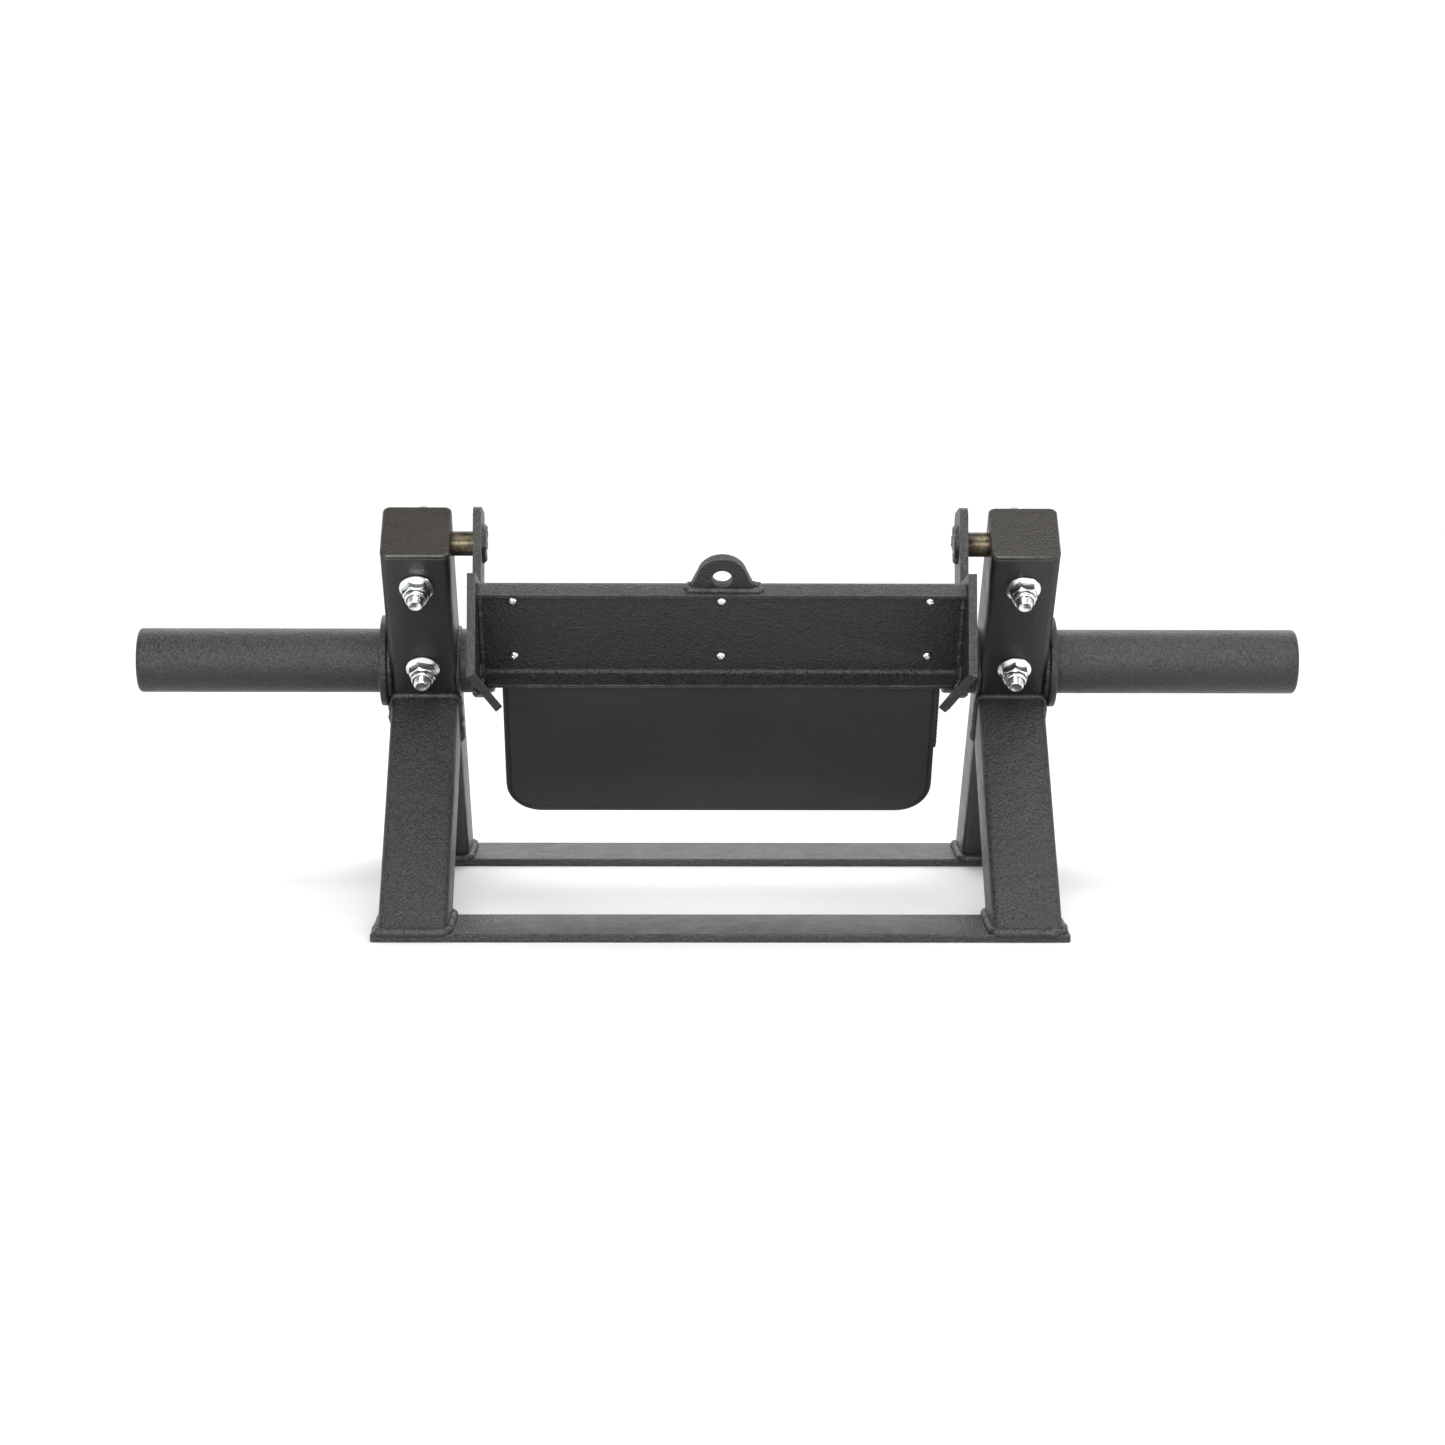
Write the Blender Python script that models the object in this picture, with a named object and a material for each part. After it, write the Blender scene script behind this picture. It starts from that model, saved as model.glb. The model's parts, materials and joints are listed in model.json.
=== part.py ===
"""Floor-standing roman chair stand with a swinging pad frame.

Two welded A-shaped sides stand on a front and a rear flat bar.  Each side has
a long inclined post, a short front leg and a round plate sleeve.  A pad frame
hangs between the posts on two pivot pins.  X runs across, +Y to the back and
+Z up; the floor is Z = 0, X = 0 is the plane of symmetry and Y = 0 is the
middle of the front bar.
"""
import math
import bpy
import bmesh
from mathutils import Vector

for old in list(bpy.data.objects):
    bpy.data.objects.remove(old, do_unlink=True)

# ---------------------------------------------------------------- sizes (m)
GAP = 0.0003                 # air between two pieces that touch
RUN = 0.0001                 # radial running clearance of the pins

BAR_DEEP = 0.070             # flat bars on the floor
BAR_T = 0.006
BAR_FRONT_Y = -BAR_DEEP / 2
BAR_OVER = 0.005             # beyond the outer side of each post

TUBE = 0.050                 # square tube of the posts and legs
TUBE_WALL = 0.003
TUBE_R = 0.0048              # outer corner radius
POST_X = 0.220               # centre plane of each side
POST_TILT = math.radians(40.0)
POST_FOOT_Y = 0.246          # front face of the post where it meets its bar
FOOT_SET = 0.001             # feet, back from the front edge of their bar
POST_LEN = 0.345             # along the front face, cap included
CAP_T = 0.003
CAP_EDGE = 0.0009            # broken edge of the cap
BAR_LEN = 2 * (POST_X + TUBE / 2 + BAR_OVER)
REAR_BAR_Y = POST_FOOT_Y - FOOT_SET

SLEEVE_OD = 0.048            # plate sleeves
SLEEVE_WALL = 0.0035
SLEEVE_LEN = 0.1895          # from the post's side to the end
SLEEVE_PLUG_T = 0.005
SLEEVE_EDGE = 0.003          # rounded edge of the plug and the stub
COLLAR_OD = 0.068
COLLAR_T = 0.005
COLLAR_OFF = 0.0025          # from the post's side to the collar
EDGE = 0.0006                # broken edges of turned pieces

PIN_D = 0.018
PIN_DEEP = 0.029             # from the post's front face
PIN_OUT_X = POST_X + 0.018
PIN_EDGE = 0.0008
BUSH_WALL = 0.003
BUSH_OD = PIN_D + 2 * BUSH_WALL
BUSH_TOP = 0.002             # bush to the cap
PIN_AT = POST_LEN - CAP_T - BUSH_TOP - BUSH_OD / 2          # along the post
SLEEVE_BELOW = 0.122         # sleeve and stop stub, below the pin
SLEEVE_AT = PIN_AT - SLEEVE_BELOW
BUSH_IN_LEN = 0.0165
BUSH_OUT_LEN = 0.013

BOLT_D = 0.012               # studs of each post
STUD_CLEAR = 0.001           # upper stud to the pin
STUD_PITCH = 0.087
STUD_HIGH = PIN_AT - PIN_D / 2 - STUD_CLEAR - BOLT_D / 2
BOLT_AT = (STUD_HIGH, STUD_HIGH - STUD_PITCH)
BOLT_NUT_STACK = 0.0190      # from the post's face to the end of the thread
NUT_AF = 0.018
NUT_FLANGE = 0.0255
NUT_FLANGE_T = 0.0018
LEG_CLEAR = 0.0173           # lower nut to the top of the leg
LEG_MEET = BOLT_AT[1] - NUT_FLANGE / 2 - LEG_CLEAR          # along the post
LEG_FOOT_Y = BAR_FRONT_Y + FOOT_SET
LEG_TILT = math.atan2(POST_FOOT_Y - LEG_MEET * math.sin(POST_TILT) - LEG_FOOT_Y,
                      LEG_MEET * math.cos(POST_TILT))
NUT_HEX_TOP = 0.0090         # top of the hexagon, where the nylon collar starts
NUT_H = 0.0135
HEX_CUT = 0.56               # radius over the cut corners, as a share of the flats
LOCK_D = 0.010               # pin lock bolts
LOCK_X = POST_X - 0.004
LOCK_AF = 0.015
LOCK_FLANGE = 0.021
LOCK_HEAD_H = 0.0095
LOCK_FLANGE_T = 0.0020
THREAD_EDGE = 0.0012         # chamfer at the end of a thread
HOLE_PLAY = 0.0010           # bolt hole, over the bolt's diameter
DRILL_OVER = 0.004           # cutters, past the faces that they open

LEAN = math.radians(12.0)    # the ears' lean at rest, top to the back
PLATE_T = 0.006
SIDE_GAP = 0.0165            # between a post and the pad frame
PLATE_OUT_X = POST_X - TUBE / 2 - SIDE_GAP     # outer face of ears and end plates
PIN_PROUD = 0.003            # pin, past the ear's inner face
PIN_IN_X = PLATE_OUT_X - PLATE_T - PIN_PROUD
STUB_PROUD = 0.0045          # stop stub, past the ear's inner face
STUB_REACH = SIDE_GAP + PLATE_T + STUB_PROUD
STUB_BORE = 0.004            # small vent in the stub's end
EAR_WIDE = 0.050
EAR_UP = 0.025
EAR_DOWN = 0.111
EAR_R = 0.009
LIP_LEN = 0.027
LIP_ANGLE = math.radians(40.0)
LIP_SWEEP = 0.030

CHANNEL_TURN = math.radians(45.0)   # web, from the ears' direction
CHANNEL_A = 0.076            # the web's upper back corner, forward of the pin
CHANNEL_B = -0.0332          # the same corner, above the pin
CHANNEL_H = 0.0865
CHANNEL_F = 0.0175
CHANNEL_T = 0.0025
CHANNEL_R = 0.006
END_AHEAD = 0.019            # end plate, ahead of the web's upper corner
END_ABOVE = 0.0025           # end plate, above the same corner
END_FRONT = CHANNEL_A + END_AHEAD
END_TOP = CHANNEL_B + END_ABOVE
LIP_CLEAR = 0.0011                             # channel's low corner to the bend
CORNER_TRIM = 0.0095                           # lower flange, cut back at its ends
CORNER_RUN = CORNER_TRIM * math.sin(CHANNEL_TURN) * math.tan(LIP_ANGLE)
END_BEND = (CHANNEL_B - CHANNEL_H * math.cos(CHANNEL_TURN)
            - (CHANNEL_F - CORNER_TRIM) * math.sin(CHANNEL_TURN) - LIP_CLEAR
            - PLATE_T * math.tan(LIP_ANGLE / 2))
EYE_R = 0.0175
EYE_HOLE = 0.014
EYE_T = 0.006
EYE_BASE = 0.046
EYE_RISE = 0.010             # hole centre over the flange

PAD_CLEAR = 0.0145           # each side, to the ears' inner faces
PAD_WIDE = 2 * (PLATE_OUT_X - PLATE_T - PAD_CLEAR)
PAD_TOP = 0.0045             # from the web's top, down the web, at the pad's front
PAD_BOTTOM = 0.225
PAD_CORNER = 0.026           # lower corners
PAD_TOP_CORNER = 0.006
COVER_T = 0.0012
BOARD_T = 0.010
FOAM_T = 0.038
PAD_ROLL = 0.024             # rolled edge of the sides and the bottom
PAD_TOP_SLOPE = 0.84         # top edge: run down the web for each length behind it
PAD_TOP_ROLL = 0.35          # rolled edge at the top, as a share of the sides' one
ROLL_STEPS = 5
SCREW_D = 0.0036
SCREW_HEAD = 0.0064
SCREW_HEAD_H = 0.0024
SCREW_LONG = 0.0080          # under the head
SCREW_TIP = 0.0016
SCREW_SIDE = 0.010           # outer screws, in from the pad's sides
SCREW_EDGE = 0.0165
SCREW_EDGE_LOW = 0.0190           # rows, in from the web's top and bottom
SCREW_X = (SCREW_SIDE - PAD_WIDE / 2, 0.0, PAD_WIDE / 2 - SCREW_SIDE)
SCREW_ROWS = (SCREW_EDGE, CHANNEL_H - SCREW_EDGE_LOW)

SEG = 32                     # round tubes and pins
SEG_BOLT = 24                # fasteners
SEG_SCREW = 16
CREASE = math.radians(32.0)  # edges sharper than this stay sharp in shading


# ---------------------------------------------------------------- materials
def material(name, rgb, metal, rough):
    mat = bpy.data.materials.new(name)
    mat.use_nodes = True
    bsdf = mat.node_tree.nodes["Principled BSDF"]
    bsdf.inputs["Base Color"].default_value = (*rgb, 1.0)
    bsdf.inputs["Metallic"].default_value = metal
    bsdf.inputs["Roughness"].default_value = rough
    return mat


BLACK = ((0.028, 0.028, 0.029), 0.0, 0.55)
ZINC = ((0.72, 0.74, 0.76), 1.0, 0.25)
STEEL = ((0.23, 0.20, 0.17), 1.0, 0.38)
BRONZE = ((0.45, 0.32, 0.16), 1.0, 0.40)
VINYL = ((0.012, 0.012, 0.013), 0.0, 0.45)
PLY = ((0.55, 0.40, 0.24), 0.0, 0.65)
FOAM = ((0.62, 0.60, 0.54), 0.0, 0.90)


# ------------------------------------------------------------------ meshes
def soften(mesh):
    """Smooth shading, broken at the sharp edges."""
    mesh.shade_smooth()
    mesh.set_sharp_from_angle(angle=CREASE)


def add(name, verts, faces, look, origin=(0.0, 0.0, 0.0)):
    """One object from points in world metres, normals outward."""
    mesh = bpy.data.meshes.new(name)
    obj = bpy.data.objects.new(name, mesh)
    bpy.context.scene.collection.objects.link(obj)
    o = Vector(origin)
    bm = bmesh.new()
    made = [bm.verts.new(Vector(v) - o) for v in verts]
    for f in faces:
        bm.faces.new([made[i] for i in f])
    bmesh.ops.recalc_face_normals(bm, faces=bm.faces)
    if bm.calc_volume(signed=True) < 0:
        bmesh.ops.reverse_faces(bm, faces=bm.faces)
    bm.to_mesh(mesh)
    bm.free()
    obj.location = o
    mesh.materials.append(material("mat_" + name, *look))
    soften(mesh)
    return obj


def loft(name, loops, look, closed=False, origin=(0.0, 0.0, 0.0)):
    """Skin between loops of equal length; closed joins last to first."""
    n = len(loops[0])
    verts = [p for loop in loops for p in loop]
    faces = []
    count = len(loops)
    for k in range(count if closed else count - 1):
        a, b = k * n, ((k + 1) % count) * n
        for i in range(n):
            j = (i + 1) % n
            faces.append((a + i, a + j, b + j, b + i))
    if not closed:
        faces.append(tuple(range(n)))
        faces.append(tuple(range((count - 1) * n, count * n)))
    return add(name, verts, faces, look, origin)


def ring_round(center, across, up, radius, seg):
    return [center + across * (radius * math.cos(2 * math.pi * i / seg))
            + up * (radius * math.sin(2 * math.pi * i / seg)) for i in range(seg)]


def ring_hex(center, across, up, flat, seg, cut=9.0):
    """Hexagon over its flats, its corners cut to a circle of radius cut."""
    out = []
    for i in range(seg):
        ang = 2 * math.pi * i / seg
        off = math.fmod(math.degrees(ang) + 1e-9, 60.0) - 30.0
        r = min(flat / 2 / math.cos(math.radians(off)), cut)
        out.append(center + across * (r * math.cos(ang)) + up * (r * math.sin(ang)))
    return out


def spindle(name, start, axis, profile, look, seg=SEG, closed=False, origin=(0, 0, 0)):
    """Turned piece: profile of (distance along axis, radius[, flats])."""
    axis = Vector(axis).normalized()
    side = Vector((1, 0, 0)) if abs(axis.x) < 0.9 else Vector((0, 1, 0))
    across = (side - axis * side.dot(axis)).normalized()
    up = axis.cross(across)
    loops = []
    for item in profile:
        c = Vector(start) + axis * item[0]
        if len(item) > 2:
            loops.append(ring_hex(c, across, up, item[2], seg, item[1]))
        else:
            loops.append(ring_round(c, across, up, item[1], seg))
    return loft(name, loops, look, closed, origin)


def rounded(w, d, r, steps=4, cx=0.0, cy=0.0, r_low=None):
    """Outline of a rectangle w by d; r_low rounds the two corners at low y."""
    pts = []
    r_low = r if r_low is None else r_low
    for qx, qy, a0, q in ((1, 1, 0, r), (-1, 1, 90, r), (-1, -1, 180, r_low), (1, -1, 270, r_low)):
        for k in range(steps + 1):
            a = math.radians(a0 + 90.0 * k / steps)
            pts.append((cx + qx * (w / 2 - q) + q * math.cos(a),
                        cy + qy * (d / 2 - q) + q * math.sin(a)))
    return pts


def box(name, lo, hi, look, edge=0.0008):
    """Flat bar with softly broken edges."""
    cx, cy = (lo[0] + hi[0]) / 2, (lo[1] + hi[1]) / 2
    w, d = hi[0] - lo[0], hi[1] - lo[1]
    loops = []
    for z, e in ((lo[2], edge), (lo[2] + edge, 0.0), (hi[2] - edge, 0.0), (hi[2], edge)):
        loops.append([Vector((x, y, z)) for x, y in
                      rounded(w - 2 * e, d - 2 * e, 2 * edge, 2, cx, cy)])
    return loft(name, loops, look)


def cut(obj, cutter):
    """Exact Boolean difference, applied; the cutter is removed."""
    cutter.hide_render = True
    cutter.display_type = 'WIRE'
    mod = obj.modifiers.new("cut", 'BOOLEAN')
    mod.operation = 'DIFFERENCE'
    mod.solver = 'EXACT'
    mod.object = cutter
    bpy.context.view_layer.update()
    done = bpy.data.meshes.new_from_object(
        obj.evaluated_get(bpy.context.evaluated_depsgraph_get()))
    obj.modifiers.clear()
    mats = list(obj.data.materials)
    obj.data = done
    done.materials.clear()
    for m in mats:
        done.materials.append(m)
    bpy.data.objects.remove(cutter, do_unlink=True)
    bm = bmesh.new()
    bm.from_mesh(done)
    bmesh.ops.remove_doubles(bm, verts=bm.verts, dist=0.000002)
    bmesh.ops.dissolve_degenerate(bm, edges=bm.edges, dist=0.000002)
    bm.to_mesh(done)
    bm.free()
    soften(done)


def drill(obj, start, axis, length, dia, seg=SEG_BOLT):
    cut(obj, spindle("drill", start, axis, ((0, dia / 2), (length, dia / 2)), BLACK, seg))


# ------------------------------------------------------------- local frames
POST_UP = Vector((0, -math.sin(POST_TILT), math.cos(POST_TILT)))
POST_IN = Vector((0, math.cos(POST_TILT), math.sin(POST_TILT)))
POST_O = Vector((0, POST_FOOT_Y, BAR_T))
LEG_UP = Vector((0, math.sin(LEG_TILT), math.cos(LEG_TILT)))
LEG_IN = Vector((0, math.cos(LEG_TILT), -math.sin(LEG_TILT)))
LEG_O = Vector((0, LEG_FOOT_Y, BAR_T))
X = Vector((1, 0, 0))


def on_post(x, h, s):
    """x across, h in from the front face, s up along the post."""
    return POST_O + X * x + POST_IN * h + POST_UP * s


def on_leg(x, h, s):
    return LEG_O + X * x + LEG_IN * h + LEG_UP * s


PIN = on_post(0, PIN_DEEP, PIN_AT)
FRAME_FWD = Vector((0, -math.cos(LEAN), math.sin(LEAN)))
FRAME_UP = Vector((0, math.sin(LEAN), math.cos(LEAN)))


def on_frame(x, a, b):
    """x across, a forward and b up from the pin, in the ears' direction."""
    return PIN + X * x + FRAME_FWD * a + FRAME_UP * b


WEB_UP = FRAME_FWD * math.sin(CHANNEL_TURN) + FRAME_UP * math.cos(CHANNEL_TURN)
WEB_OUT = FRAME_FWD * math.cos(CHANNEL_TURN) - FRAME_UP * math.sin(CHANNEL_TURN)
WEB_O = on_frame(0, CHANNEL_A, CHANNEL_B)


def on_web(x, down, out):
    """x across, down the web from its top, out from its back face."""
    return WEB_O + X * x - WEB_UP * down + WEB_OUT * out


# -------------------------------------------------------------------- stand
box("base_bar_front", (-BAR_LEN / 2, BAR_FRONT_Y, 0),
    (BAR_LEN / 2, BAR_FRONT_Y + BAR_DEEP, BAR_T), BLACK)
box("base_bar_rear", (-BAR_LEN / 2, REAR_BAR_Y, 0),
    (BAR_LEN / 2, REAR_BAR_Y + BAR_DEEP, BAR_T), BLACK)


def tube_loops(cx):
    """Outer and inner section of the square tube: (x, depth) pairs."""
    outer = rounded(TUBE, TUBE, TUBE_R, 4, cx, TUBE / 2)
    inner = rounded(TUBE - 2 * TUBE_WALL, TUBE - 2 * TUBE_WALL,
                    max(TUBE_R - TUBE_WALL, 0.0008), 4, cx, TUBE / 2)
    return outer, inner


def post_low(h):
    """Where the mitred foot of the post ends, along the post."""
    return (GAP - h * POST_IN.z) / POST_UP.z


def leg_low(h):
    return (GAP - h * LEG_IN.z) / LEG_UP.z


def leg_high(h):
    """Where the leg meets the post's front face."""
    base = on_leg(0, h, 0) - POST_O
    return (-GAP - base.dot(POST_IN)) / LEG_UP.dot(POST_IN)


def rounded_end(length, radius):
    """Profile of a turned end with its edge rounded by SLEEVE_EDGE."""
    return tuple((length - SLEEVE_EDGE * (1 - math.sin(a)), radius - SLEEVE_EDGE * (1 - math.cos(a)))
                 for a in (0.0, math.pi / 6, math.pi / 3, math.pi / 2))


for side, tag in ((-1, "left"), (1, "right")):
    px = side * POST_X
    inner_x = side * (POST_X - TUBE / 2)
    outer_x = side * (POST_X + TUBE / 2)
    out = Vector((side, 0, 0))

    outer, inner = tube_loops(px)
    top = POST_LEN - CAP_T - GAP
    post = loft("post_" + tag, [
        [on_post(x, h, post_low(h)) for x, h in outer],
        [on_post(x, h, top) for x, h in outer],
        [on_post(x, h, top) for x, h in inner],
        [on_post(x, h, post_low(h)) for x, h in inner]], BLACK, closed=True)
    for at in BOLT_AT:
        drill(post, on_post(px, -DRILL_OVER, at), POST_IN, TUBE + 2 * DRILL_OVER,
              BOLT_D + HOLE_PLAY)
    drill(post, on_post(side * LOCK_X, TUBE - TUBE_WALL - DRILL_OVER, PIN_AT), POST_IN,
          TUBE_WALL + 2 * DRILL_OVER, LOCK_D + HOLE_PLAY)
    drill(post, on_post(inner_x - side * DRILL_OVER, PIN_DEEP, PIN_AT), out,
          TUBE_WALL + 2 * DRILL_OVER, BUSH_OD + 2 * GAP, SEG)

    cap = []
    for s, e in ((POST_LEN - CAP_T, 0.0), (POST_LEN - CAP_EDGE, 0.0), (POST_LEN, CAP_EDGE)):
        cap.append([on_post(x, h, s) for x, h in
                    rounded(TUBE - 2 * e, TUBE - 2 * e, TUBE_R, 4, px, TUBE / 2)])
    loft("post_cap_" + tag, cap, BLACK)

    loft("front_leg_" + tag, [
        [on_leg(x, h, leg_low(h)) for x, h in outer],
        [on_leg(x, h, leg_high(h)) for x, h in outer],
        [on_leg(x, h, leg_high(h)) for x, h in inner],
        [on_leg(x, h, leg_low(h)) for x, h in inner]], BLACK, closed=True)

    # plate sleeve, its end plug and its collar
    hub = on_post(0, TUBE / 2, SLEEVE_AT)
    start = hub + out * (abs(outer_x) + GAP)
    long = SLEEVE_LEN - GAP - SLEEVE_PLUG_T - GAP
    ro, ri = SLEEVE_OD / 2, SLEEVE_OD / 2 - SLEEVE_WALL
    spindle("sleeve_" + tag, start, out,
            ((0, ro), (long, ro), (long, ri), (0, ri)), BLACK, SEG, closed=True)
    spindle("sleeve_plug_" + tag, start + out * (long + GAP), out,
            ((0, ro),) + rounded_end(SLEEVE_PLUG_T, ro), BLACK, SEG)
    rc = COLLAR_OD / 2
    spindle("collar_" + tag, start + out * (COLLAR_OFF - GAP), out,
            ((0, rc - EDGE), (EDGE, rc), (COLLAR_T - EDGE, rc), (COLLAR_T, rc - EDGE),
             (COLLAR_T, ro + GAP), (0, ro + GAP)), BLACK, SEG, closed=True)
    stub_in = STUB_REACH - SLEEVE_WALL
    spindle("stop_stub_" + tag, hub + out * (abs(inner_x) - GAP), -out,
            ((0, ro),) + rounded_end(STUB_REACH, ro)
            + ((STUB_REACH, STUB_BORE), (stub_in, STUB_BORE), (stub_in, ri), (0, ri)),
            BLACK, SEG, closed=True)

    # pivot bushes inside the post
    rb, rp = BUSH_OD / 2, PIN_D / 2 + RUN
    pivot = PIN + out * (abs(inner_x) + GAP)
    bush = spindle("pivot_bush_inner_" + tag, pivot, out,
                   ((0, rb), (BUSH_IN_LEN, rb), (BUSH_IN_LEN, rp), (0, rp)), BRONZE, SEG,
                   closed=True)
    far = PIN + out * (abs(outer_x) - TUBE_WALL - GAP)
    spindle("pivot_bush_outer_" + tag, far, -out,
            ((0, rb), (BUSH_OUT_LEN, rb), (BUSH_OUT_LEN, rp), (0, rp)), BRONZE, SEG,
            closed=True)

    # studs set flush in the back wall, with flanged lock nuts on the front face
    for at, place in zip(BOLT_AT, ("upper", "lower")):
        rs, rf = BOLT_D / 2, NUT_FLANGE / 2
        total = TUBE - GAP + BOLT_NUT_STACK
        spindle("frame_stud_%s_%s" % (place, tag), on_post(px, TUBE - GAP, at), -POST_IN,
                ((0, rs), (total - THREAD_EDGE, rs), (total, rs - THREAD_EDGE)), ZINC, SEG_BOLT)
        rn, hex_r = rs + GAP, NUT_AF * HEX_CUT
        spindle("lock_nut_%s_%s" % (place, tag), on_post(px, -GAP, at), -POST_IN,
                ((0, rf - EDGE), (EDGE, rf), (NUT_FLANGE_T, rf - EDGE),
                 (NUT_FLANGE_T + 2 * EDGE, hex_r, NUT_AF), (NUT_HEX_TOP, hex_r, NUT_AF),
                 (NUT_HEX_TOP + 2 * EDGE, NUT_AF / 2), (NUT_H - 2 * EDGE, NUT_AF / 2 - EDGE),
                 (NUT_H, NUT_AF / 2 - 4 * EDGE), (NUT_H, rn), (0, rn)), ZINC, SEG_BOLT,
                closed=True)

    # bolt that locks the pin, through the back face and the inner bush
    rs, rf, hex_r = LOCK_D / 2, LOCK_FLANGE / 2, LOCK_AF * HEX_CUT
    head = on_post(side * LOCK_X, TUBE + GAP + LOCK_HEAD_H, PIN_AT)
    total = LOCK_HEAD_H + GAP + TUBE - (PIN_DEEP + PIN_D / 2 + GAP)
    spindle("pin_lock_bolt_" + tag, head, -POST_IN,
            ((0, LOCK_AF / 2 - 2 * EDGE), (EDGE, hex_r, LOCK_AF),
             (LOCK_HEAD_H - LOCK_FLANGE_T - 2 * EDGE, hex_r, LOCK_AF),
             (LOCK_HEAD_H - LOCK_FLANGE_T, rf - EDGE), (LOCK_HEAD_H - EDGE, rf),
             (LOCK_HEAD_H, rf - EDGE), (LOCK_HEAD_H, rs), (total - THREAD_EDGE, rs),
             (total, rs - THREAD_EDGE)), ZINC, SEG_BOLT)


# ---------------------------------------------------------------- pad frame
def plate(name, outline, x_in, x_out, look, origin):
    """Flat plate across X from an (a, b) outline on the frame."""
    return loft(name, [[on_frame(x_in, a, b) for a, b in outline],
                       [on_frame(x_out, a, b) for a, b in outline]], look, origin=origin)


def inset_rounded(left, right, low, high, r, steps=4, r_low=None):
    return rounded(right - left, high - low, r, steps, (left + right) / 2,
                   (low + high) / 2, r_low)


for side, tag in ((-1, "left"), (1, "right")):
    out = Vector((side, 0, 0))
    x_out, x_in = side * PLATE_OUT_X, side * (PLATE_OUT_X - PLATE_T)
    ear = plate("ear_" + tag, inset_rounded(-EAR_WIDE / 2, EAR_WIDE / 2, -EAR_DOWN, EAR_UP,
                                            EAR_R, 5), x_in, x_out, BLACK, PIN)
    drill(ear, PIN + out * (abs(x_in) - DRILL_OVER), out, PLATE_T + 2 * DRILL_OVER,
          PIN_D + 2 * GAP, SEG)

    # end plate: flat in front of the ear, its lower lip bent inward
    tip_x = LIP_LEN * math.sin(LIP_ANGLE)
    tip_b = LIP_LEN * math.cos(LIP_ANGLE)
    nx, nb = PLATE_T * math.cos(LIP_ANGLE), PLATE_T * math.sin(LIP_ANGLE)
    bend_in = PLATE_T * math.tan(LIP_ANGLE / 2)
    back, front = EAR_WIDE / 2 + GAP, END_FRONT
    section = ((PLATE_OUT_X, END_TOP, 0), (PLATE_OUT_X, END_BEND, 0),
               (PLATE_OUT_X - tip_x, END_BEND - tip_b, LIP_SWEEP),
               (PLATE_OUT_X - tip_x - nx, END_BEND - tip_b + nb, LIP_SWEEP),
               (PLATE_OUT_X - PLATE_T, END_BEND + bend_in, 0),
               (PLATE_OUT_X - PLATE_T, END_TOP, 0))
    verts = [on_frame(side * x, back, b) for x, b, _ in section]
    verts += [on_frame(side * x, front - sweep, b) for x, b, sweep in section]
    faces = [(0, 1, 4, 5), (1, 2, 3, 4), (6, 7, 10, 11), (7, 8, 9, 10)]
    faces += [(i, (i + 1) % 6, (i + 1) % 6 + 6, i + 6) for i in range(6)]
    add("end_plate_" + tag, verts, faces, BLACK, PIN)

    spindle("pivot_pin_" + tag, PIN + out * PIN_IN_X, out,
            ((0, PIN_D / 2 - PIN_EDGE), (PIN_EDGE, PIN_D / 2),
             (PIN_OUT_X - PIN_IN_X - PIN_EDGE, PIN_D / 2),
             (PIN_OUT_X - PIN_IN_X, PIN_D / 2 - PIN_EDGE)), STEEL, SEG, origin=PIN)
    bush = bpy.data.objects["pivot_bush_inner_" + tag]
    if LOCK_X - LOCK_D / 2 < POST_X - TUBE / 2 + BUSH_IN_LEN + 3 * GAP:
        drill(bush, on_post(side * LOCK_X, PIN_DEEP, PIN_AT), POST_IN, BUSH_OD,
              LOCK_D + HOLE_PLAY)


def arc(cd, co, r, a0, a1, steps=4):
    return [(cd + r * math.cos(math.radians(a0 + (a1 - a0) * k / steps)),
             co + r * math.sin(math.radians(a0 + (a1 - a0) * k / steps)))
            for k in range(steps + 1)]


# channel section, (down, out): web at the back, two flanges forward
R, T = CHANNEL_R, CHANNEL_T
RI = max(R - T, 0.0008)


def channel_outline(trim):
    """Section as (down, out); the lower flange ends trim short of the upper one."""
    return ([(0, CHANNEL_F)] + arc(R, R, R, 180, 270)
            + arc(CHANNEL_H - R, R, R, 270, 360) + [(CHANNEL_H, CHANNEL_F - trim)]
            + [(CHANNEL_H - T, CHANNEL_F - trim)]
            + arc(CHANNEL_H - T - RI, T + RI, RI, 360, 270)
            + arc(T + RI, T + RI, RI, 270, 180) + [(T, CHANNEL_F)])


reach = PLATE_OUT_X - PLATE_T - GAP
channel = loft("cross_channel", [[on_web(x, d, o) for d, o in channel_outline(trim)]
                                 for x, trim in ((-reach, CORNER_TRIM), (-reach + CORNER_RUN, 0),
                                                 (reach - CORNER_RUN, 0), (reach, CORNER_TRIM))],
               BLACK, origin=PIN)
for x in SCREW_X:
    for row in SCREW_ROWS:
        drill(channel, on_web(x, row, -DRILL_OVER), WEB_OUT, CHANNEL_T + 2 * DRILL_OVER,
              SCREW_D + HOLE_PLAY, SEG_SCREW)

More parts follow.
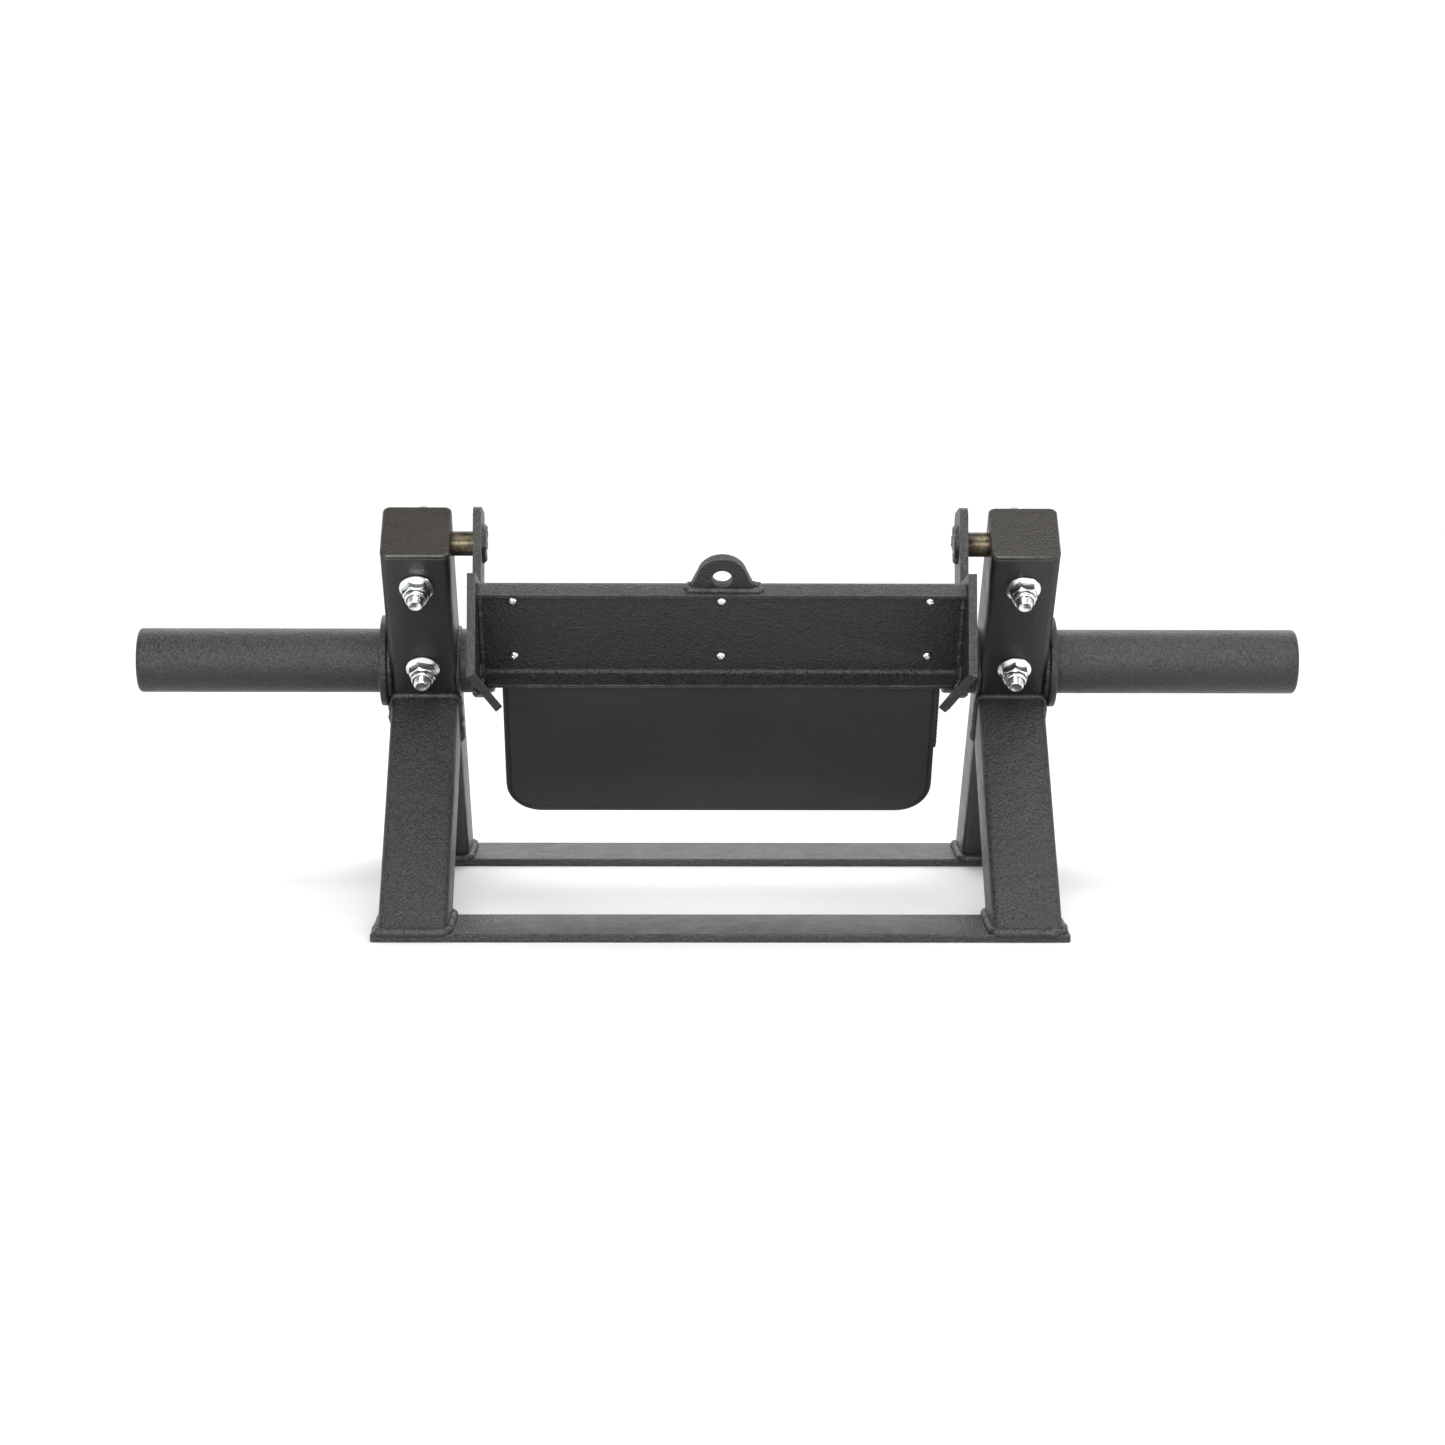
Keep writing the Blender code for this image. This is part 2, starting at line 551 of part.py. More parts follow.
# eyelet tab, standing on the top flange and parallel to the web
mid = CHANNEL_F / 2 + EYE_T / 2
eye_c = -GAP - EYE_RISE
half = [(EYE_R * math.cos(math.radians(a)), eye_c - EYE_R * math.sin(math.radians(a)))
        for a in range(15, 166, 10)]
tab = [(EYE_BASE / 2, -GAP)] + half + [(-EYE_BASE / 2, -GAP)]
eye = loft("eyelet_tab", [[on_web(x, d, o) for x, d in tab] for o in (mid - EYE_T, mid)],
           BLACK, origin=PIN)
drill(eye, on_web(0, eye_c, mid - EYE_T - DRILL_OVER), WEB_OUT, EYE_T + 2 * DRILL_OVER,
      EYE_HOLE, SEG)


# ---------------------------------------------------------------------- pad
def pad_loop(behind, inset=0.0, roll=0.0):
    """One closed outline of the pad, behind the web's back face."""
    left, right = -PAD_WIDE / 2 + inset + roll, PAD_WIDE / 2 - inset - roll
    top = PAD_TOP + PAD_TOP_SLOPE * behind + inset + PAD_TOP_ROLL * roll
    low = PAD_BOTTOM - inset - roll
    r = max(PAD_CORNER - inset - roll * 0.5, 0.006)
    return [on_web(x, d, -behind) for x, d in
            inset_rounded(left, right, top, low, r, 5, PAD_TOP_CORNER - inset)]


front = GAP
board_front = front + COVER_T + GAP
foam_front = board_front + BOARD_T + GAP
foam_back = foam_front + FOAM_T
wrap = COVER_T + GAP


def pad_shape(inset, first, depth_to):
    """Loops from the front edge round the rolled edges to the back face."""
    loops = [pad_loop(first, inset)]
    if first < foam_front:
        loops.append(pad_loop(foam_front, inset))
    for k in range(ROLL_STEPS + 1):
        turn = math.pi / 2 * k / ROLL_STEPS
        loops.append(pad_loop(depth_to - PAD_ROLL * (1 - math.sin(turn)), inset,
                              PAD_ROLL * (1 - math.cos(turn))))
    return loops


backing = loft("pad_backing", [pad_loop(z, wrap) for z in (front, front + COVER_T)],
               VINYL, origin=PIN)
board = loft("pad_board", [pad_loop(z, wrap) for z in (board_front, board_front + BOARD_T)],
             PLY, origin=PIN)
loft("pad_foam", pad_shape(wrap, foam_front, foam_back), FOAM, origin=PIN)
skin_out = pad_shape(0.0, front, foam_back + wrap)
skin_in = pad_shape(COVER_T, front, foam_back + GAP)
loft("pad_cover", skin_out + skin_in[::-1], VINYL, closed=True, origin=PIN)

screw_all = SCREW_LONG + SCREW_TIP
number = 0
for x in SCREW_X:
    for row in SCREW_ROWS:
        number += 1
        for piece in (backing, board):
            drill(piece, on_web(x, row, CHANNEL_T), -WEB_OUT, screw_all + HOLE_PLAY / 2,
                  SCREW_D + 2 * GAP, SEG_SCREW)
        rs, rh, hh = SCREW_D / 2, SCREW_HEAD / 2, SCREW_HEAD_H
        spindle("pad_screw_%d" % number, on_web(x, row, CHANNEL_T + GAP + hh), -WEB_OUT,
                ((0, rh * 0.55), (hh * 0.25, rh * 0.85), (hh * 0.6, rh), (hh, rh), (hh, rs),
                 (hh + SCREW_LONG, rs), (hh + screw_all, rs * 0.3)),
                ZINC, SEG_SCREW, origin=PIN)
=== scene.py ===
"""Looks of the roman chair stand with a swinging pad frame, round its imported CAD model.

Everything is in metres in the row frame: +X across, +Y to the back, +Z up, floor at Z = 0.
"""
import json
import math
import bpy
import bmesh
from mathutils import Matrix, Vector, noise


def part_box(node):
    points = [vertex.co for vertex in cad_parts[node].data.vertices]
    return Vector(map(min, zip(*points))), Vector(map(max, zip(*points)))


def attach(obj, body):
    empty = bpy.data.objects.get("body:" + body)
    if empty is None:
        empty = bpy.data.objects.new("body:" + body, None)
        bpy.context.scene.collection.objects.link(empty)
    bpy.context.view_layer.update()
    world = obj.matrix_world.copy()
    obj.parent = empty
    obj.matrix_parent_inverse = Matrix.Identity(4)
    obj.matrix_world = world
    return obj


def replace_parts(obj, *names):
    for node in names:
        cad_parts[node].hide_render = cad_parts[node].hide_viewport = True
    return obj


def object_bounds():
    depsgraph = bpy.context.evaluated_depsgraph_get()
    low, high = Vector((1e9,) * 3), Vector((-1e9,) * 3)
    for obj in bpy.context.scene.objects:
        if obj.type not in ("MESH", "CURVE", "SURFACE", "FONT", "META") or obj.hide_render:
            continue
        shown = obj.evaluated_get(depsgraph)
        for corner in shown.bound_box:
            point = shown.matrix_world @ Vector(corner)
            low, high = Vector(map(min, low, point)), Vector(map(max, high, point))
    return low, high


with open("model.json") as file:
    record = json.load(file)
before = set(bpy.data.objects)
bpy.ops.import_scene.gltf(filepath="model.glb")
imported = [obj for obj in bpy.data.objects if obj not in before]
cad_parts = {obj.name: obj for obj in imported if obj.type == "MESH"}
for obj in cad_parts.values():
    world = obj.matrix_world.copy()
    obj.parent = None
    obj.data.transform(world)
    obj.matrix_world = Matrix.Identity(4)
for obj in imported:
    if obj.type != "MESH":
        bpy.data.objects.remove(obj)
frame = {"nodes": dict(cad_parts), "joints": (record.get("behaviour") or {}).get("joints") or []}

cad_low, cad_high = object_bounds()
nodes = frame["nodes"]
STAND, PAD_FRAME = "stand", "pad_frame"
SIDES = ((-1, "left"), (1, "right"))
X = Vector((1, 0, 0))

# ----------------------------- sizes of the CAD model, and the frames of its parts
GAP = 0.0003                 # between neighbouring solids
TUBE = 0.050                 # square tube, over its flats
TUBE_R = 0.0048              # its outer corners
POST_TILT = math.radians(40.0)
PLATE_T = 0.006              # ears and end plates
LEAN = math.radians(12.0)    # ears, from vertical
WEB_LEAN = math.radians(33.0)
CHANNEL_H = 0.0865           # web, over the flanges
CHANNEL_F = 0.0175           # flanges, from the web's back face
CHANNEL_T = 0.0025
CHANNEL_R = 0.006

PIN = Vector(frame["joints"][0]["pos_m"])
post_low, post_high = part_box("post_right")
leg_low, leg_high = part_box("front_leg_right")
EAR_OUT = abs(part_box("ear_right")[1].x)
POST_X = (post_low.x + post_high.x) / 2
POST_UP = Vector((0, -math.sin(POST_TILT), math.cos(POST_TILT)))
POST_IN = Vector((0, math.cos(POST_TILT), math.sin(POST_TILT)))
POST_O = Vector((0, post_high.y - TUBE / math.cos(POST_TILT), post_low.z))
leg_rise = leg_high.z - leg_low.z
leg_run = POST_O.y - leg_rise * math.tan(POST_TILT) - leg_low.y
LEG_TILT = math.atan2(leg_run, leg_rise)
LEG_UP = Vector((0, math.sin(LEG_TILT), math.cos(LEG_TILT)))
LEG_IN = Vector((0, math.cos(LEG_TILT), -math.sin(LEG_TILT)))
LEG_O = Vector((0, leg_low.y, leg_low.z))
FRAME_FWD = Vector((0, -math.cos(LEAN), math.sin(LEAN)))
FRAME_UP = Vector((0, math.sin(LEAN), math.cos(LEAN)))
WEB_UP = Vector((0, -math.sin(WEB_LEAN), math.cos(WEB_LEAN)))
WEB_OUT = Vector((0, -math.cos(WEB_LEAN), -math.sin(WEB_LEAN)))
channel_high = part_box("cross_channel")[1]
WEB_O = Vector((
    0,
    channel_high.y - CHANNEL_R + (CHANNEL_H - CHANNEL_R) * WEB_UP.y - CHANNEL_R * WEB_OUT.y,
    channel_high.z - CHANNEL_R + CHANNEL_R * WEB_UP.z - CHANNEL_R * WEB_OUT.z))


def on_post(x, h, s):
    """x across, h in from the post's front face, s up along it."""
    return POST_O + X * x + POST_IN * h + POST_UP * s


def on_leg(x, h, s):
    """x across, h in from the front leg's front face, s up along it."""
    return LEG_O + X * x + LEG_IN * h + LEG_UP * s


def on_frame(x, a, b):
    """x across, a forward and b up from the pivot pin, in the ears' direction."""
    return PIN + X * x + FRAME_FWD * a + FRAME_UP * b


def on_web(x, down, out):
    """x across, down the channel's web from its top, out from its back face."""
    return WEB_O + X * x - WEB_UP * down + WEB_OUT * out


def along_post(point):
    """How far up the post a point lies."""
    return (point - POST_O).dot(POST_UP)


def middle(node):
    """Middle of a CAD node's box."""
    low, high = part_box(node)
    return (low + high) / 2


def x_span(node):
    """Least and greatest distance of a node's ends from the object's middle plane."""
    low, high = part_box(node)
    return sorted((abs(low.x), abs(high.x)))


# ---------------------------------------------------------------------- materials
class Shader:
    """A material that is put together node by node on the object's own coordinates."""

    def __init__(self, name, **sockets):
        self.mat = bpy.data.materials.new(name)
        self.mat.use_nodes = True
        self.tree = self.mat.node_tree
        self.bsdf = self.tree.nodes["Principled BSDF"]
        for socket, value in sockets.items():
            self.bsdf.inputs[socket.replace("_", " ")].default_value = value
        self.place = self.add("ShaderNodeTexCoord").outputs["Object"]

    def add(self, kind, settings=None, **inputs):
        """A node with its inputs given by name, or by number as i0, i1, ..."""
        node = self.tree.nodes.new(kind)
        for key, value in (settings or {}).items():
            setattr(node, key, value)
        for key, value in inputs.items():
            numbered = key[1:].isdigit()
            socket = node.inputs[int(key[1:]) if numbered else key.replace("_", " ")]
            if hasattr(value, "links"):
                self.tree.links.new(value, socket)
            else:
                socket.default_value = value
        return node

    def noise(self, scale, detail=2.0, rough=0.5, where=None):
        return self.add("ShaderNodeTexNoise", Vector=where or self.place, Scale=scale,
                        Detail=detail, Roughness=rough).outputs["Fac"]

    def cells(self, scale, where=None):
        return self.add("ShaderNodeTexVoronoi", {"feature": "SMOOTH_F1"},
                        Vector=where or self.place, Scale=scale).outputs["Distance"]

    def map(self, value, low, high, to_low=0.0, to_high=1.0):
        return self.add("ShaderNodeMapRange", Value=value, From_Min=low, From_Max=high,
                        To_Min=to_low, To_Max=to_high).outputs["Result"]

    def math(self, operation, a, b=0.0):
        return self.add("ShaderNodeMath", {"operation": operation}, i0=a, i1=b).outputs[0]

    def mix(self, fac, a, b):
        return self.add("ShaderNodeMix", {"data_type": "RGBA"}, i0=fac, i6=a, i7=b).outputs[2]

    def stretch(self, x, y, z):
        return self.add("ShaderNodeMapping", Vector=self.place, Scale=(x, y, z)).outputs["Vector"]

    def bump(self, height, strength, distance, normal=None):
        node = self.add("ShaderNodeBump", Height=height, Strength=strength, Distance=distance)
        if normal is not None:
            self.tree.links.new(normal, node.inputs["Normal"])
        return node.outputs["Normal"]

    def soft_edge(self, radius):
        return self.add("ShaderNodeBevel", {"samples": 4}, Radius=radius).outputs["Normal"]

    def edge_mask(self, soft, low, high):
        """1 where the rounded normal leaves the flat one: it marks rubbed edges, which are painted
        lighter partly as a painted edge highlight.
        """
        true = self.add("ShaderNodeNewGeometry").outputs["Normal"]
        dot = self.add("ShaderNodeVectorMath", {"operation": "DOT_PRODUCT"}, i0=soft, i1=true)
        return self.map(dot.outputs["Value"], low, high, 1.0, 0.0)

    def put(self, socket, value):
        self.tree.links.new(value, self.bsdf.inputs[socket])


def rgb(r, g, b):
    """Opaque colour."""
    return (r, g, b, 1.0)


EDGE_SOFT = 0.0013           # rounding that the coat leaves on an edge
# colour of rubbed edges, lighter partly as a painted edge highlight
RUBBED_AND_HIGHLIGHT = (0.17, 0.17, 0.165)


def powder_coat(name, dark, light, rough, grain=1.0):
    """Black powder coat with a sandy skin, grain and flecks painted lighter on up-facing faces as painted
    top light, and rubbed edges painted lighter, partly as a painted edge highlight.
    """
    s = Shader(name, Specular_IOR_Level=0.42, IOR=1.5)
    pebble = s.cells(560.0)
    fine = s.noise(1100.0, 3.0, 0.6)
    sand = s.map(s.noise(600.0, 2.0, 0.6), 0.36, 0.64)
    fleck = s.map(s.noise(760.0, 1.0), 0.58, 0.70)
    facing = s.add("ShaderNodeSeparateXYZ", Vector=s.add("ShaderNodeNewGeometry").outputs["Normal"])
    # painted top light: grain and flecks lighter the more a face points up and dimmer on down-facing
    # faces, as if lit from above
    painted_top_light = s.map(facing.outputs["Z"], -0.45, 0.25, 0.30 * grain, grain)
    colour = s.mix(s.math("MULTIPLY", sand, painted_top_light), rgb(*dark), rgb(*light))
    colour = s.mix(s.math("MULTIPLY", fleck, s.math("MULTIPLY", painted_top_light, 0.4)), colour,
                   rgb(*[c * 2.2 for c in light]))
    soft = s.soft_edge(EDGE_SOFT)
    # rubbed edges broken up by noise, painted lighter also as a painted edge highlight
    worn_and_highlit = s.math("MULTIPLY", s.edge_mask(soft, 0.80, 0.985), s.map(s.noise(90.0, 4.0), 0.36, 0.60))
    s.put("Base Color", s.mix(s.math("MULTIPLY", worn_and_highlit, 0.7), colour, rgb(*RUBBED_AND_HIGHLIGHT)))
    s.put("Roughness", s.map(s.noise(60.0, 4.0, 0.7), 0.3, 0.7, *rough))
    height = s.math("ADD", s.math("MULTIPLY", pebble, 0.9), s.math("MULTIPLY", fine, 0.6))
    s.put("Normal", s.bump(height, 0.75 * grain, 0.0009, soft))
    return s.mat


def zinc_plate():
    """Bright zinc, slightly blue, with faint cloudy patches and fine scratches."""
    s = Shader("zinc_plate", Metallic=1.0)
    cloud = s.noise(180.0, 4.0, 0.6)
    colour = s.mix(s.map(cloud, 0.35, 0.65), rgb(0.70, 0.73, 0.76), rgb(0.90, 0.90, 0.88))
    s.put("Base Color", s.mix(s.map(s.noise(40.0), 0.55, 0.75, 0.0, 0.35), colour, rgb(0.78, 0.74, 0.62)))
    scratch = s.noise(90.0, 5.0, 0.8, s.stretch(1.0, 14.0, 3.0))
    s.put("Roughness", s.map(scratch, 0.3, 0.7, 0.12, 0.30))
    s.put("Normal", s.bump(s.noise(900.0, 2.0), 0.08, 0.0002, s.soft_edge(0.0003)))
    return s.mat


def turned_steel():
    """Bare turned pin: dark, with patches of a warm cast that is a painted reflection of warm light, and
    rings from the lathe.
    """
    s = Shader("turned_steel", Metallic=1.0)
    patch = s.noise(75.0, 4.0, 0.6)
    # warm colour in patches: a painted warm reflection
    colour = s.mix(s.map(patch, 0.4, 0.62), rgb(0.018, 0.015, 0.012), rgb(0.12, 0.10, 0.066))
    s.put("Base Color", s.mix(s.map(s.noise(320.0, 2.0), 0.55, 0.7), colour, rgb(0.04, 0.033, 0.026)))
    rings = s.noise(60.0, 3.0, 0.7, s.stretch(60.0, 0.6, 0.6))
    s.put("Roughness", s.map(rings, 0.3, 0.7, 0.28, 0.46))
    s.put("Normal", s.bump(rings, 0.25, 0.0002))
    return s.mat


def vinyl(name, dark, light, grain=1.0):
    """Upholstery vinyl: fine leather grain, slow colour drift, soft satin shine."""
    s = Shader(name, Specular_IOR_Level=0.40, IOR=1.45, Sheen_Weight=0.03, Sheen_Roughness=0.5)
    wander = s.add("ShaderNodeTexNoise", Vector=s.place, Scale=300.0).outputs["Color"]
    offset = s.add("ShaderNodeVectorMath", {"operation": "SCALE"}, i0=wander, Scale=0.0012).outputs[0]
    place = s.add("ShaderNodeVectorMath", {"operation": "ADD"}, i0=s.place, i1=offset).outputs[0]
    skin = s.cells(820.0, place)
    pore = s.noise(2100.0, 2.0)
    drift = s.noise(9.0, 3.0)
    s.put("Base Color", s.mix(s.map(drift, 0.35, 0.65), rgb(*dark), rgb(*light)))
    s.put("Roughness", s.map(s.noise(26.0, 4.0, 0.6), 0.3, 0.7, 0.50, 0.62))
    height = s.math("ADD", s.math("MULTIPLY", skin, 0.8), s.math("MULTIPLY", pore, 0.35))
    s.put("Normal", s.bump(height, 0.22 * grain, 0.0004))
    return s.mat


def thread_mat():
    """Twisted polyester sewing thread."""
    s = Shader("sewing_thread", Specular_IOR_Level=0.4, Sheen_Weight=0.2)
    twist = s.noise(1300.0, 2.0)
    s.put("Base Color", s.mix(s.map(twist, 0.4, 0.6), rgb(0.06, 0.06, 0.06), rgb(0.20, 0.20, 0.195)))
    s.put("Roughness", s.map(twist, 0.3, 0.7, 0.55, 0.8))
    s.put("Normal", s.bump(twist, 0.5, 0.0002))
    return s.mat


def bronze():
    """Plain bearing bronze."""
    s = Shader("bearing_bronze", Metallic=1.0)
    s.put("Base Color", s.mix(s.map(s.noise(120.0, 4.0), 0.35, 0.65), rgb(0.30, 0.19, 0.08),
                              rgb(0.55, 0.38, 0.18)))
    s.put("Roughness", s.map(s.noise(300.0, 3.0), 0.3, 0.7, 0.3, 0.5))
    s.put("Normal", s.bump(s.noise(700.0), 0.1, 0.0002))
    return s.mat


FRAME_BLACK = powder_coat("powder_coat", (0.006, 0.006, 0.0065), (0.034, 0.034, 0.033), (0.36, 0.50))
# posts: painted shade, a duller and less grainy copy of the same coat for faces that catch little light
SMOOTH_SHADED_BLACK = powder_coat("powder_coat_smooth_shaded", (0.010, 0.010, 0.011), (0.018, 0.018, 0.019),
                           (0.36, 0.48), 0.35)
# caps: the same coat, glossier, with a warm tint that is a painted reflection of warm light
CAP_WARM_REFLECTION_BLACK = powder_coat("powder_coat_cap", (0.016, 0.0135, 0.009), (0.030, 0.026, 0.018),
                        (0.22, 0.34), 0.3)
# welds: the same coat painted lighter, a painted sheen where the rough beads catch the light
WELD_SHEEN_BLACK = powder_coat("powder_coat_weld", (0.018, 0.018, 0.018), (0.045, 0.045, 0.044),
                         (0.28, 0.42), 0.7)
ZINC = zinc_plate()
PIN_STEEL = turned_steel()
BRONZE = bronze()
VINYL = vinyl("pad_vinyl", (0.0105, 0.0105, 0.011), (0.0145, 0.0145, 0.015))
VINYL_BACK = vinyl("pad_vinyl_back", (0.012, 0.012, 0.012), (0.018, 0.018, 0.018), 1.3)
THREAD = thread_mat()


# ------------------------------------------------------------------- mesh helpers
def piece(name, verts, faces, mat, body, slot, crease=35.0):
    """One piece from world points, normals outward, riding on a CAD body."""
    mesh = bpy.data.meshes.new(name)
    mesh.from_pydata([tuple(v) for v in verts], [], faces)
    bm = bmesh.new()
    bm.from_mesh(mesh)
    bmesh.ops.remove_doubles(bm, verts=bm.verts, dist=0.000001)
    bmesh.ops.recalc_face_normals(bm, faces=bm.faces)
    if bm.calc_volume(signed=True) < 0:
        bmesh.ops.reverse_faces(bm, faces=bm.faces)
    bm.to_mesh(mesh)
    bm.free()
    mesh.shade_smooth()
    mesh.set_sharp_from_angle(angle=math.radians(crease))
    mesh.materials.append(mat)
    obj = bpy.data.objects.new(name, mesh)
    bpy.context.scene.collection.objects.link(obj)
    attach(obj, body)
    return obj


def skin(rings, closed=False):
    """Quads between rings of equal length; closed joins the last to the first."""
    n, count = len(rings[0]), len(rings)
    verts = [p for ring in rings for p in ring]
    faces = []
    for k in range(count if closed else count - 1):
        a, b = k * n, (k + 1) % count * n
        faces += [(a + i, a + (i + 1) % n, b + (i + 1) % n, b + i) for i in range(n)]
    if not closed:
        faces += [tuple(range(n)), tuple(range((count - 1) * n, count * n))]
    return verts, faces


def axes_for(axis):
    """An axis and two directions square to it, all of unit length."""
    axis = Vector(axis).normalized()
    side = X if abs(axis.x) < 0.9 else Vector((0, 0, 1))
    across = (side - axis * side.dot(axis)).normalized()
    return axis, across, axis.cross(across)


def turned(name, start, axis, profile, mat, body, slot, seg=96, closed=False, crease=35.0):
    """Turned piece: profile of (distance, radius), where radius may be a function of the angle."""
    axis, across, up = axes_for(axis)
    rings = []
    for z, radius in profile:
        ring = []
        for i in range(seg):
            a = 2 * math.pi * i / seg
            r = radius(a) if callable(radius) else radius
            ring.append(start + axis * z + (across * math.cos(a) + up * math.sin(a)) * r)
        rings.append(ring)
    return piece(name, *skin(rings, closed), mat, body, slot, crease)


def fillet(z, r, radius, steps=6):
    """Outer rounded edge of a turned end: from the side at z - radius to the face at z."""
    return [(z - radius * (1 - math.sin(math.pi / 2 * k / steps)),
             r - radius * (1 - math.cos(math.pi / 2 * k / steps))) for k in range(steps + 1)]


def resample(points, step, closed):
    """Points at an even spacing along a polyline."""
    pts = [Vector(p) for p in points]
    if closed:
        pts.append(pts[0])
    lengths = [0.0]
    for a, b in zip(pts, pts[1:]):
        lengths.append(lengths[-1] + (b - a).length)
    total = lengths[-1]
    count = max(8, round(total / step))
    out, k = [], 0
    for i in range(count if closed else count + 1):
        s = min(total * i / count, total - 1e-9)
        while lengths[k + 1] < s:
            k += 1
        t = (s - lengths[k]) / max(lengths[k + 1] - lengths[k], 1e-9)
        out.append(pts[k].lerp(pts[k + 1], t))
    return out, total / count


BEAD_STEP, BEAD_SIDES = 0.0008, 14
BEAD_INSIDE = 0.0001         # beads stay this far inside the CAD model's box
WELDS = {                    # radius and unevenness of each kind of bead
    "collar_post": (0.0024, 0.22), "collar_sleeve": (0.0012, 0.12), "stub": (0.0019, 0.22),
    "post_foot": (0.0032, 0.36), "leg_foot": (0.0033, 0.42), "leg_post": (0.0028, 0.30),
    "cap": (0.0008, 0.12), "pin_ear": (0.0030, 0.30), "channel_inside": (0.0025, 0.42),
    "channel_back": (0.0020, 0.30), "ear_inner": (0.0020, 0.30), "ear_outer": (0.0004, 0.30),
    "ear_foot": (0.0027, 0.45), "eyelet": (0.0024, 0.42)}


def bead(kind, tag, path, body, plane=(0, 0, 1), closed=True, ripple=0.0032):
    """Painted weld bead: a cord half sunk in the metal, with crescent ripples and uneven width."""
    radius, rough = WELDS[kind]
    points, step = resample(path, BEAD_STEP, closed)
    plane = Vector(plane).normalized()
    n = len(points)
    rings = []
    for i, p in enumerate(points):
        before = points[i - 1] if closed or i else p
        after = points[(i + 1) % n] if closed or i < n - 1 else p
        run = (after - before).normalized()
        side = run.cross(plane)
        side = side.normalized() if side.length > 1e-4 else axes_for(run)[1]
        up = side.cross(run)
        slow = noise.noise(p * 150.0 + Vector((7.0, 3.0, 1.0))) + 0.5 * noise.noise(p * 420.0)
        taper = 1.0
        if not closed:
            taper = min(1.0, 0.35 + min(i, n - 1 - i) * step / (1.6 * radius))
        ring = []
        for k in range(BEAD_SIDES):
            a = 2 * math.pi * k / BEAD_SIDES
            wave = abs(math.sin(math.pi * (i * step + 0.5 * radius * math.cos(2 * a)) / ripple))
            r = radius * taper * (1 + rough * slow + 0.16 * (wave - 0.6))
            q = p + side * (r * math.cos(a)) + up * (r * math.sin(a))
            ring.append(Vector(max(lo + BEAD_INSIDE, min(hi - BEAD_INSIDE, c))
                               for c, lo, hi in zip(q, cad_low, cad_high)))
        rings.append(ring)
    name = "_".join(["weld", kind] + ([tag] if tag else []))
    return piece(name, *skin(rings, closed), WELD_SHEEN_BLACK, body, "frame_black", 60.0)


def circle(centre, axis, radius, count=72):
    """Points round a circle."""
    axis, across, up = axes_for(axis)
    return [centre + (across * math.cos(2 * math.pi * i / count)
                      + up * math.sin(2 * math.pi * i / count)) * radius for i in range(count)]


def square_tube(cx, grow=0.0, steps=6):
    """Outline of the square tube as (x, depth) pairs, grown by a little for a bead."""
    half, r = TUBE / 2 + grow, TUBE_R + max(grow, 0.0)
    out = []
    for qx, qy, a0 in ((1, 1, 0), (-1, 1, 90), (-1, -1, 180), (1, -1, 270)):
        for k in range(steps + 1):
            a = math.radians(a0 + 90.0 * k / steps)
            out.append((cx + qx * (half - r) + r * math.cos(a),
                        TUBE / 2 + qy * (half - r) + r * math.sin(a)))
    return out


# ------------------------------------------------------------- CAD nodes that stay
CREASE = math.radians(32.0)  # edges sharper than this stay sharp
WELD_FACETS = 0.00001


def smoothing_group():
    """Geometry nodes that weld the facets of a CAD node and shade it smooth between its edges."""
    group = bpy.data.node_groups.new("weld_and_shade", "GeometryNodeTree")
    group.interface.new_socket("Geometry", in_out="INPUT", socket_type="NodeSocketGeometry")
    group.interface.new_socket("Geometry", in_out="OUTPUT", socket_type="NodeSocketGeometry")
    make, link = group.nodes.new, group.links.new
    source, sink = make("NodeGroupInput"), make("NodeGroupOutput")
    weld = make("GeometryNodeMergeByDistance")
    weld.inputs["Distance"].default_value = WELD_FACETS
    drop = make("GeometryNodeRemoveAttribute")
    drop.inputs["Name"].default_value = "custom_normal"
    angle = make("GeometryNodeInputMeshEdgeAngle")
    sharp = make("FunctionNodeCompare")
    sharp.inputs["B"].default_value = CREASE
    faces, edges = make("GeometryNodeSetShadeSmooth"), make("GeometryNodeSetShadeSmooth")
    edges.domain = "EDGE"
    edges.inputs["Shade Smooth"].default_value = False
    link(source.outputs[0], weld.inputs[0])
    link(weld.outputs[0], drop.inputs[0])
    link(drop.outputs[0], faces.inputs["Geometry"])
    link(faces.outputs[0], edges.inputs["Geometry"])
    link(angle.outputs["Unsigned Angle"], sharp.inputs["A"])
    link(sharp.outputs[0], edges.inputs["Selection"])
    link(edges.outputs[0], sink.inputs[0])
    return group


FINISH = {"post_cap": CAP_WARM_REFLECTION_BLACK, "post_": SMOOTH_SHADED_BLACK, "pivot_bush": BRONZE}    # the rest is FRAME_BLACK
shading = smoothing_group()
for name, node in nodes.items():
    look = next((m for start, m in FINISH.items() if name.startswith(start)), FRAME_BLACK)
    for slot in node.material_slots:
        slot.material = look
    node.modifiers.new("weld_and_shade", "NODES").node_group = shading


